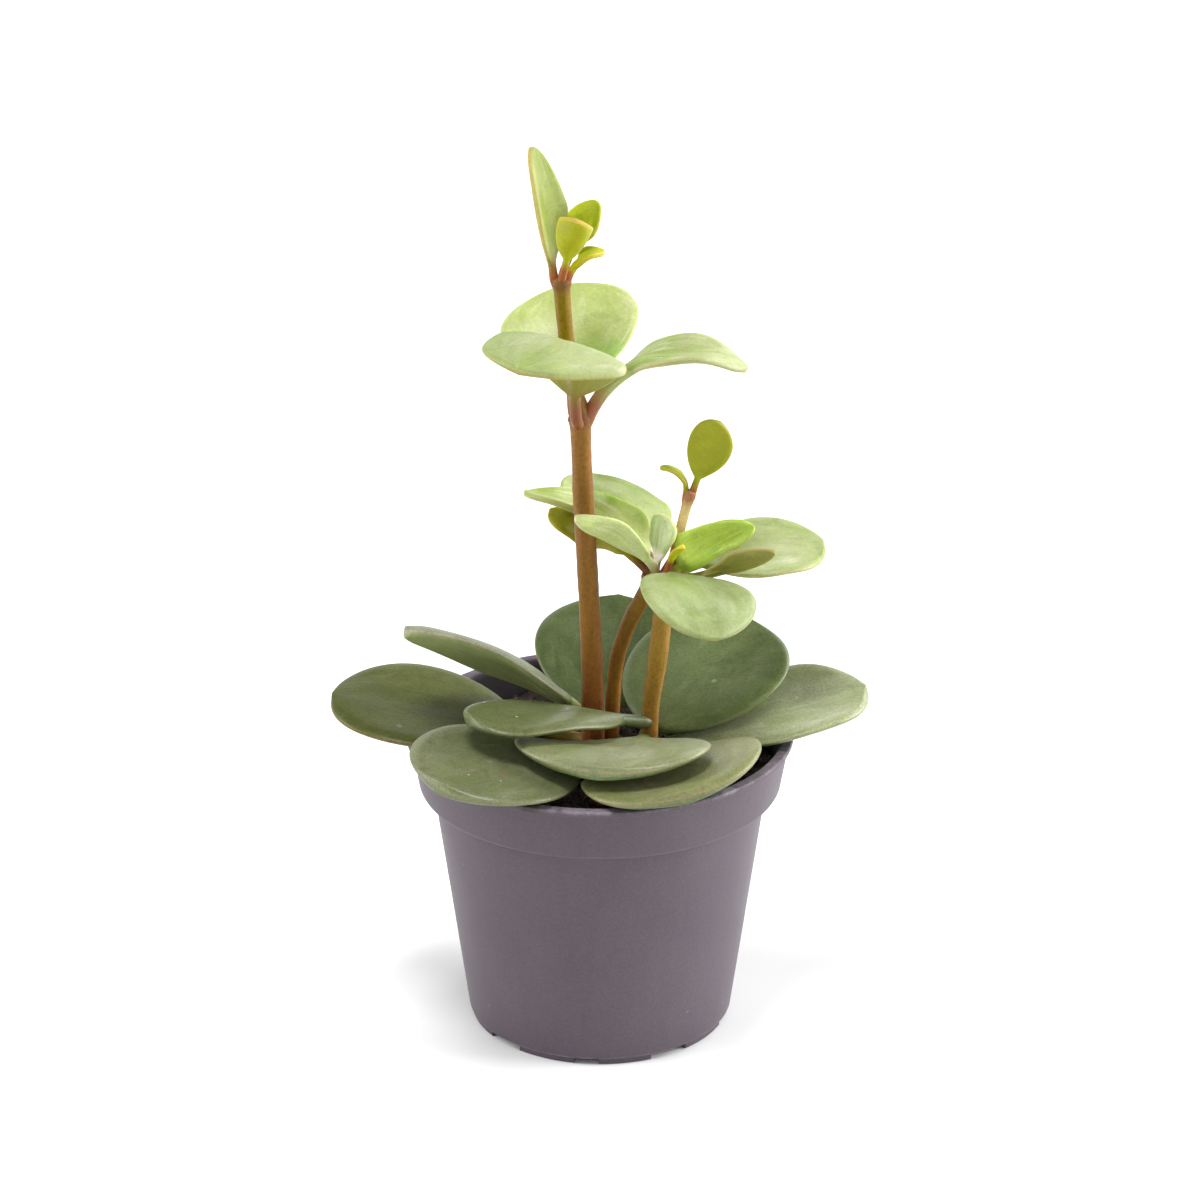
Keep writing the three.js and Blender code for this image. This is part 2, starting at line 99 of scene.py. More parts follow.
def darken(tree, colour, level):
    grey = put(tree, "ShaderNodeCombineColor", {0: level, 1: level, 2: level}).outputs[0]
    return blend(tree, 1.0, colour, grey, "MULTIPLY")


def noise(tree, place, scale, detail=2.0, rough=0.5, distort=0.0):
    node = put(tree, "ShaderNodeTexNoise", {"Vector": place, "Scale": scale, "Detail": detail,
                                            "Roughness": rough, "Distortion": distort})
    return node.outputs["Fac"]


def stretched(tree, place, scale):
    return put(tree, "ShaderNodeMapping", {0: place, 3: scale}).outputs[0]


def attribute(tree, name):
    return put(tree, "ShaderNodeAttribute", attribute_name=name).outputs["Fac"]


def objectPlace(tree):
    return put(tree, "ShaderNodeTexCoord").outputs["Object"]


# A normal raised by height; distance is the depth of the relief in metres.
def relief(tree, height, strength, distance):
    inputs = {"Height": height, "Strength": strength, "Distance": distance}
    return put(tree, "ShaderNodeBump", inputs).outputs[0]


# A shader node group: inputs give each label its default value, outputs each label its kind of socket.
def newGroup(name, inputs, outputs):
    group = bpy.data.node_groups.new(name, "ShaderNodeTree")
    for label, value in inputs.items():
        size = len(value) if isinstance(value, tuple) else 1
        kind = {1: "NodeSocketFloat", 3: "NodeSocketVector", 4: "NodeSocketColor"}[size]
        socket = group.interface.new_socket(label, in_out="INPUT", socket_type=kind)
        socket.default_value = value
    for label, kind in outputs.items():
        group.interface.new_socket(label, in_out="OUTPUT", socket_type=kind)
    return group, put(group, "NodeGroupInput").outputs, put(group, "NodeGroupOutput").inputs


def useGroup(tree, group, values):
    return put(tree, "ShaderNodeGroup", values, node_tree=group).outputs


# A colour as it reads on screen, such as "6f8355", in linear light, times a gain for each channel.
def tint(code, gain=(1, 1, 1)):
    parts = np.array([int(code[i:i + 2], 16) for i in (0, 2, 4)]) / 255
    linear = np.where(parts < 0.04, parts / 12.92, ((parts + 0.055) / 1.055) ** 2.4) * np.array(gain)
    return (*[float(v) for v in np.clip(linear, 0, 1)], 1.0)


# Each of the vectors divided by its own length.
def unit(vectors):
    return vectors / np.linalg.norm(vectors, axis=1)[:, None]


# A quadratic curve at the shares u: (1-u)^2 of start, 2u(1-u) of knee and u^2 of end.
def quadratic(u, start, knee, end):
    return (1 - u) ** 2 * start + 2 * u * (1 - u) * knee + u ** 2 * end


# A smooth mesh from points in millimetres; values holds one number per point under each name.
def newMesh(name, points, faces, values):
    mesh = bpy.data.meshes.new(name)
    mesh.from_pydata(points * millimetre, [], faces)
    mesh.shade_smooth()
    for label, numbers in values.items():
        mesh.attributes.new(label, "FLOAT", "POINT").data.foreach_set("value", numbers.astype(np.float32))
    return mesh


# A closed skin: rings is rows x sides x 3 in millimetres, closed by the points first and last.
# values holds one number per point of the rings, spread to the closing points from their rows.
def skinMesh(name, rings, first, last, values):
    rows, sides = rings.shape[:2]
    points = np.concatenate([first[None], rings.reshape(-1, 3), last[None]])
    turn = np.arange(sides)
    onward = (turn + 1) % sides
    low = 1 + np.arange(rows - 1)[:, None] * sides
    quads = np.stack([low + turn, low + onward, low + sides + onward, low + sides + turn], -1).reshape(-1, 4)
    end = 1 + (rows - 1) * sides
    caps = np.concatenate([np.stack([0 * turn, 1 + onward, 1 + turn], -1),
                           np.stack([end + turn, end + onward, 0 * turn + len(points) - 1], -1)])
    spread = {label: np.concatenate([[grid[0].mean()], grid.reshape(-1), [grid[-1].mean()]])
              for label, grid in values.items()}
    return newMesh(name, points, quads.tolist() + caps.tolist(), spread)


def pieceName(node):
    head, *rest = node.split("_")
    return head + "".join(word.capitalize() for word in rest) + "Skin"


def addObject(name, data):
    item = bpy.data.objects.new(name, data)
    scene.collection.objects.link(item)
    return item


# One finished piece: its object at the origin, riding on the plant, in place of its CAD node if any.
def addPiece(name, mesh, material, slot, *nodes):
    piece = addObject(name, mesh)
    mesh.materials.append(material)
    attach(piece, "root")
    if nodes:
        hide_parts(*nodes)


def newMaterial(name):
    material = bpy.data.materials.new(name)
    material.use_nodes = True
    tree = material.node_tree
    return material, tree, tree.nodes["Principled BSDF"]


# Shared effects

# Leaf paint. Along is 0 where the blade starts and 1 at its tip, Across runs from -1 to 1 between the
# rims, Upper is 1 on the upper face, Edge is the distance from the rim in millimetres. Long soft
# streaks follow lines of equal Across, so they fan out from the base and close in again at the tip.
def makeLeafPaint():
    tree, given, gives = newGroup("leafPaint", {
        "Along": 0.5, "Across": 0.0, "Upper": 1.0, "Edge": 5.0, "Lot": 0.0,
        "Base": (0.2, 0.3, 0.1, 1), "Deep": (0.1, 0.2, 0.05, 1), "Pale": (0.4, 0.5, 0.2, 1),
        "Rim": (0.3, 0.3, 0.1, 1), "Line": (0.3, 0.2, 0.1, 1), "Under": (0.2, 0.2, 0.1, 1),
        "Heart": (0.3, 0.4, 0.1, 1), "Stalk": (0.3, 0.15, 0.08, 1), "Streaks": 0.4, "Mottle": 0.6,
        "Rim Width": 0.5, "Rim Share": 0.6, "Line Share": 0.3, "Grain": 0.1, "Heart Reach": 0.1,
        "Stalk Reach": -0.1,
    }, {"Colour": "NodeSocketColor", "Height": "NodeSocketFloat", "Patch": "NodeSocketFloat"})
    place = objectPlace(tree)
    broad = noise(tree, place, 80, 3, 0.55)
    mid = noise(tree, place, 420, 3, 0.6)
    fine = noise(tree, place, 2600, 2, 0.6)
    spread = put(tree, "ShaderNodeCombineXYZ", {0: given["Across"], 1: given["Along"], 2: given["Lot"]})
    fan = spread.outputs[0]
    wide = noise(tree, stretched(tree, fan, (1.9, 0.8, 1)), 1.0, 2, 0.5, 0.5)
    thin = noise(tree, stretched(tree, fan, (4.2, 2.2, 1)), 1.0, 3, 0.6, 1.6)
    cloud = noise(tree, place, 260, 4, 0.62, 0.6)
    streaks = maths(tree, "ADD", times(tree, ramp(tree, wide, 0.38, 0.7), 0.55),
                    times(tree, ramp(tree, thin, 0.42, 0.8), ramp(tree, cloud, 0.36, 0.64, 0.15, 1.0)))
    fade = times(tree, ramp(tree, given["Along"], 1.0, 0.7, 0.45, 1.0),
                 ramp(tree, broad, 0.3, 0.6, 0.4, 1.0))
    streaks = maths(tree, "MINIMUM", times(tree, streaks, fade, given["Streaks"]), 1.0)
    hollow = times(tree, ramp(tree, cloud, 0.5, 0.36), given["Mottle"], 0.8)
    blotch = times(tree, ramp(tree, broad, 0.36, 0.64), given["Mottle"])
    colour = blend(tree, maths(tree, "MAXIMUM", blotch, hollow), given["Base"], given["Deep"])
    colour = blend(tree, streaks, colour, given["Pale"])
    heart = ramp(tree, maths(tree, "SUBTRACT", given["Along"], given["Heart Reach"]), 0.12, -0.12)
    colour = blend(tree, heart, colour, given["Heart"])
    under = blend(tree, times(tree, streaks, 0.4), given["Under"], given["Pale"])
    colour = blend(tree, given["Upper"], under, colour)
    edge = maths(tree, "MULTIPLY", given["Edge"], around(tree, mid, 1.2))
    rim = ramp(tree, maths(tree, "DIVIDE", edge, given["Rim Width"]), 0.1, 1.0, 1.0, 0.0)
    onBlade = ramp(tree, given["Along"], 0.02, 0.16)
    colour = blend(tree, times(tree, rim, given["Rim Share"], onBlade), colour, given["Rim"])
    line = times(tree, ramp(tree, edge, 0.1, 0.3, 1.0, 0.0), given["Line Share"], onBlade,
                 ramp(tree, broad, 0.4, 0.6, 0.35, 1.0))
    colour = blend(tree, line, colour, given["Line"])
    stalk = ramp(tree, maths(tree, "SUBTRACT", given["Along"], given["Stalk Reach"]), -0.14, 0.14)
    colour = blend(tree, stalk, given["Stalk"], colour)
    level = times(tree, maths(tree, "MULTIPLY_ADD", maths(tree, "SUBTRACT", fine, 0.5), given["Grain"], 1.0),
                  around(tree, mid, 0.42), around(tree, broad, 0.3))
    tree.links.new(darken(tree, colour, level), gives["Colour"])
    raised = maths(tree, "MULTIPLY_ADD", fine, 0.4, times(tree, mid, 0.6))
    tree.links.new(maths(tree, "SUBTRACT", raised, times(tree, thin, 0.5)), gives["Height"])
    tree.links.new(mid, gives["Patch"])
    return tree


# Specks: sparse small dots, round cells kept by lot where the lot is below Keep.
def makeSpecks():
    tree, given, gives = newGroup("specks", {"Scale": 420.0, "Size": 0.16, "Keep": 0.5},
                                  {"Mask": "NodeSocketFloat"})
    place = objectPlace(tree)
    cells = put(tree, "ShaderNodeTexVoronoi", {"Vector": place, "Scale": given["Scale"], "Randomness": 1.0})
    dot = ramp(tree, maths(tree, "DIVIDE", cells.outputs["Distance"], given["Size"]), 0.6, 1.0, 1.0, 0.0)
    lot = put(tree, "ShaderNodeSeparateColor", {0: cells.outputs["Color"]}).outputs[0]
    tree.links.new(times(tree, dot, maths(tree, "LESS_THAN", lot, given["Keep"])), gives["Mask"])
    return tree


# A mark: 1 within a ragged round patch of the given radius about a point, fading out to 0.
def makeMark():
    tree, given, gives = newGroup("mark", {"Centre": (0.0, 0.0, 0.0), "Radius": 0.001, "Ragged": 0.6},
                                  {"Mask": "NodeSocketFloat"})
    place = objectPlace(tree)
    apart = put(tree, "ShaderNodeVectorMath", {0: place, 1: given["Centre"]}, operation="DISTANCE")
    ragged = times(tree, maths(tree, "SUBTRACT", noise(tree, place, 1500, 3, 0.7), 0.5), given["Ragged"])
    reach = maths(tree, "ADD", ragged, maths(tree, "DIVIDE", apart.outputs["Value"], given["Radius"]))
    tree.links.new(ramp(tree, reach, 0.55, 1.0, 1.0, 0.0), gives["Mask"])
    return tree


leafPaint = makeLeafPaint()
specks = makeSpecks()
markPatch = makeMark()


# Where a material has specks, and how much of a mark there is at each place.
def speckMask(tree, scale, size, keep):
    return useGroup(tree, specks, {"Scale": scale, "Size": size, "Keep": keep})["Mask"]


def markMask(tree, centre, radius, ragged):
    return useGroup(tree, markPatch, {"Centre": tuple(centre), "Radius": radius, "Ragged": ragged})["Mask"]


print("shader groups made")


# Stems

# Stations [x, y, z, radius] up each stem, as the imported stems have them; knots are heights of joints,
# turnAt the heights where the stem's colour passes from low to middle and on to high.
# edge is the colour of a painted sheen on each stem's left and right sides, as seen from the front.
stems = {
    "stem_tall": dict(
        stations=[
            [-1.0, 0, 37, 1.75], [-1.1, 0, 44, 1.8], [-1.1, 0, 51, 1.75], [-1.3, 0, 61, 1.66],
            [-1.7, 0, 70, 1.6], [-2.1, 0, 78, 1.6], [-2.5, 0, 86, 1.62], [-2.8, 0, 94, 1.5],
            [-2.9, 0, 97.2, 1.6], [-3.0, 0, 99.3, 1.85], [-3.3, 0, 100.9, 1.6], [-3.8, 0, 103.4, 1.26],
            [-4.6, 0, 108.5, 1.2], [-5.3, 0, 115, 1.17], [-5.6, 0, 119, 1.25], [-5.7, 0, 121.2, 1.5]],
        low="74411a", middle="855c20", high="866e0a", edge="8a6040", knot="704a2c",
        knots=[99.6, 121.0], turnAt=[60, 104]),
    "stem_middle": dict(
        stations=[
            [1.6, 2.4, 37, 1.2], [1.8, 2.3, 46, 1.18], [2.0, 2.1, 52, 1.15], [2.6, 2.0, 58.6, 1.15],
            [3.5, 1.8, 62.2, 1.18], [4.7, 1.6, 65.6, 1.2], [6.3, 1.4, 68.9, 1.22], [7.4, 1.3, 71.4, 1.25],
            [7.8, 1.2, 73.2, 1.4]],
        low="70401a", middle="7e581a", high="8a6a24", edge="8c683c", knot="7c4a2e",
        knots=[73.2], turnAt=[50, 68]),
    "stem_right": dict(
        stations=[
            [7.4, -2.2, 37, 1.35], [7.6, -2.0, 47, 1.32], [7.9, -1.9, 53.5, 1.3], [8.8, -1.6, 60, 1.5],
            [9.5, -1.3, 66.7, 1.5], [10.3, -0.9, 72.3, 1.45], [10.8, -0.7, 74.6, 1.55],
            [11.3, -0.5, 76.4, 1.0], [12.2, -0.3, 81.3, 0.74], [12.9, -0.1, 84.3, 0.74],
            [13.4, 0, 86.2, 0.9], [13.7, 0, 87.4, 1.0]],
        low="825620", middle="94742a", high="ccb87c", edge="a07c48", knot="8c5034",
        knots=[74.8, 87.0], turnAt=[56, 79]),
}

# What all stems share.
stemSkin = dict(
    rings=260, sides=44, seed=40,
    smoothing=13,         # stations of the fine curve that a change of radius is spread over
    # ribs and lumps, shares of the radius: [size, waves round the stem, waves up it in radians per mm]
    ribs=[[0.010, 7, 0.05], [0.012, 0, 0.9], [0.006, 13, 0], [0.01, 2, 2.3]],
    # at each joint, shares of the radius: [size, mm above the joint, width]
    joint=[[0.06, -0.5, 0.28], [-0.05, 0.3, 0.35]],
    knotReach=1.6,        # mm over which a knot's colour fades
    dome=0.35, dots="5c3216")


# A stem's skin: a ring square to a smooth curve through the stations, its radius carried smoothly along
# and multiplied by 1 + low ribs round it and gentle lumps along it. A joint has a thin raised lip just
# under its height and a shallow waist over it, and the top is a low dome.
def stemRings(stem, seed):
    stations = np.array(stem["stations"], float)
    place = stations[:, :3]
    knots = np.concatenate([[0], np.cumsum(np.linalg.norm(np.diff(place, axis=0), axis=1) ** 0.5)])
    ahead = np.concatenate([[2 * place[0] - place[1]], place, [2 * place[-1] - place[-2]]])
    times = np.concatenate([[2 * knots[0] - knots[1]], knots, [2 * knots[-1] - knots[-2]]])
    u = np.linspace(0, knots[-1], stemSkin["rings"])
    i = np.clip(np.searchsorted(knots, u, "right") - 1, 0, len(knots) - 2) + 1

    def between(low, high, a, b):
        share = ((u - times[low]) / (times[high] - times[low]))[:, None]
        return (1 - share) * a + share * b

    one, two, three = (between(i + k - 1, i + k, ahead[i + k - 1], ahead[i + k]) for k in (0, 1, 2))
    centre = between(i, i + 1, between(i - 1, i + 1, one, two), between(i, i + 2, two, three))
    along = unit(np.gradient(centre, axis=0))
    radius = np.interp(u, knots, stations[:, 3])
    soft = np.hanning(stemSkin["smoothing"])
    radius = np.convolve(np.pad(radius, len(soft) // 2, mode="edge"), soft / soft.sum(), "valid")
    across = unit(np.cross([0, 1, 0], along))
    back = np.cross(along, across)
    turn = 2 * np.pi * np.arange(stemSkin["sides"])[None] / stemSkin["sides"]
    height = centre[:, 2:3]
    pull = np.random.default_rng(seed).uniform(0, roundTurn, len(stemSkin["ribs"]))
    swell = 1 + 0 * turn
    for shift, (size, circling, rising) in zip(pull, stemSkin["ribs"]):
        swell = swell + size * np.sin(circling * turn + rising * height + shift)
    knot = np.zeros_like(height)
    for level in stem["knots"]:
        knot = knot + np.exp(-((height - level) / stemSkin["knotReach"]) ** 2)
        for size, above, width in stemSkin["joint"]:
            swell = swell + size * np.exp(-((height - level - above) / width) ** 2)
    reach = (swell * radius[:, None])[..., None]
    outward = across[:, None] * np.cos(turn)[..., None] + back[:, None] * np.sin(turn)[..., None]
    points = centre[:, None] + reach * outward
    values = {"height": height + 0 * turn, "knot": knot + 0 * turn, "round": np.cos(turn) + 0 * height}
    return points, centre[0], centre[-1] + along[-1] * stemSkin["dome"] * radius[-1], values


# Stem paint: three colours up the stem, a painted sheen on its left and right sides, its knots, small dots,
# long streaks and grain.
def stemMaterial(name, stem):
    material, tree, shader = newMaterial(name + "Paint")
    height, knot = attribute(tree, "height"), attribute(tree, "knot")
    place = objectPlace(tree)
    streaks = noise(tree, stretched(tree, place, (1, 1, 0.14)), 900, 3, 0.6)
    grains = noise(tree, place, 1900, 3, 0.7)
    broad = noise(tree, place, 160, 2)
    low, high = stem["turnAt"]
    colour = blend(tree, ramp(tree, height, low - 14, low + 8), tint(stem["low"]), tint(stem["middle"]))
    colour = blend(tree, ramp(tree, height, high - 6, high + 4), colour, tint(stem["high"]))
    # Painted sheen: the sides facing left and right, as seen from the front, take the paler edge colour.
    sides = ramp(tree, maths(tree, "ABSOLUTE", attribute(tree, "round")), 0.55, 1.0, 0.0, 0.6)
    colour = blend(tree, sides, colour, tint(stem["edge"]))
    colour = blend(tree, maths(tree, "MINIMUM", knot, 0.8), colour, tint(stem["knot"]))
    dots = speckMask(tree, 1500.0, 0.3, 0.3)
    colour = blend(tree, times(tree, dots, 0.3), colour, tint(stemSkin["dots"]))
    level = times(tree, around(tree, streaks, 0.7), around(tree, grains, 0.9), around(tree, broad, 0.3))
    raised = maths(tree, "ADD", times(tree, streaks, 0.6), times(tree, grains, 0.3))
    wire(tree, shader, {"Base Color": darken(tree, colour, level),
                        "Normal": relief(tree, raised, 0.22, 0.0002),
                        "Roughness": ramp(tree, streaks, 0.3, 0.7, 0.45, 0.6), "IOR": 1.28,
                        "Subsurface Weight": 0.15, "Subsurface Scale": 0.001,
                        "Subsurface Radius": (1.0, 0.5, 0.2)})
    return material


for number, (node, stem) in enumerate(stems.items()):
    points, first, last, values = stemRings(stem, stemSkin["seed"] + number)
    name = pieceName(node)
    addPiece(name, skinMesh(name, points, first, last, values), stemMaterial(name, stem), "stem_skin", node)
print("stems made")


# Leaves

# What every leaf has unless its kind or its own entry says otherwise: how deep its stalk starts in the
# stem, how much the stalk widens there, and no turns, offsets, crests or marks.
plain = dict(
    drop=2.6, flare=0.15, sweep=0, twist=0, left=[0, 0, 0, 0], right=[0, 0, 0, 0], ridges=[], marks=[],
    aside=[], tone=[1, 1, 1])

# What the leaves of one kind share: blade thickness, stalk radius, grid, how far in the rim rolls over,
# the doming of the upper face, groove over the midrib and waviness. Then the colours: base, deep and
# pale on the blade, rim and line at its edge, under below, heart where it starts, and the stalk's. Then
# the strength or reach of each effect, and the finish.
kinds = {
    "mature": dict(
        thick=2.2, neck=1.1, rows=96, sides=72, rollOver=2.4, dome=0.3, groove=0.05, wave=0.12,
        base="5f703e", deep="45582b", pale="8a9872", rim="8c9a64", line="8a6a48", under="647a38",
        heart="8a9a3c", stalk="8a7432", streaks=0.35, mottle=0.6, rimWidth=0.6, rimShare=0.15, rimLine=0.2,
        grain=0.9, heartReach=-0.02, stalkReach=-0.12, roughness=[0.36, 0.48], bump=0.3, glow=0.05,
        coat=0.22, ior=1.38, specks=0.6),
    "young": dict(
        thick=1.3, neck=0.7, rows=88, sides=60, rollOver=1.1, dome=0.15, groove=0.1, wave=0.1,
        base="a9c069", deep="86a83c", pale="c4d392", rim="a8bb6c", line="c09a66", under="9caf52",
        heart="b0bc58", stalk="7a5230", streaks=1.0, mottle=0.95, rimWidth=0.5, rimShare=0.3, rimLine=0.3,
        grain=0.45, heartReach=-0.05, stalkReach=-0.12, roughness=[0.36, 0.48], bump=0.12, glow=0.3,
        coat=0.1, ior=1.38, specks=0.0),
    "bud": dict(
        thick=0.9, neck=0.55, rows=70, sides=48, rollOver=0.7, dome=0.1, groove=0.06, wave=0.05,
        base="a2ac12", deep="7f980c", pale="bcc440", rim="b2b232", line="d2a070", under="b4b84a",
        heart="a8aa3c", stalk="96582e", streaks=0.9, mottle=0.9, rimWidth=0.4, rimShare=0.35, rimLine=0.45,
        grain=0.4, heartReach=-0.05, stalkReach=-0.1, roughness=[0.45, 0.55], bump=0.1, glow=0.3, coat=0.0,
        ior=1.25, specks=0.0),
}
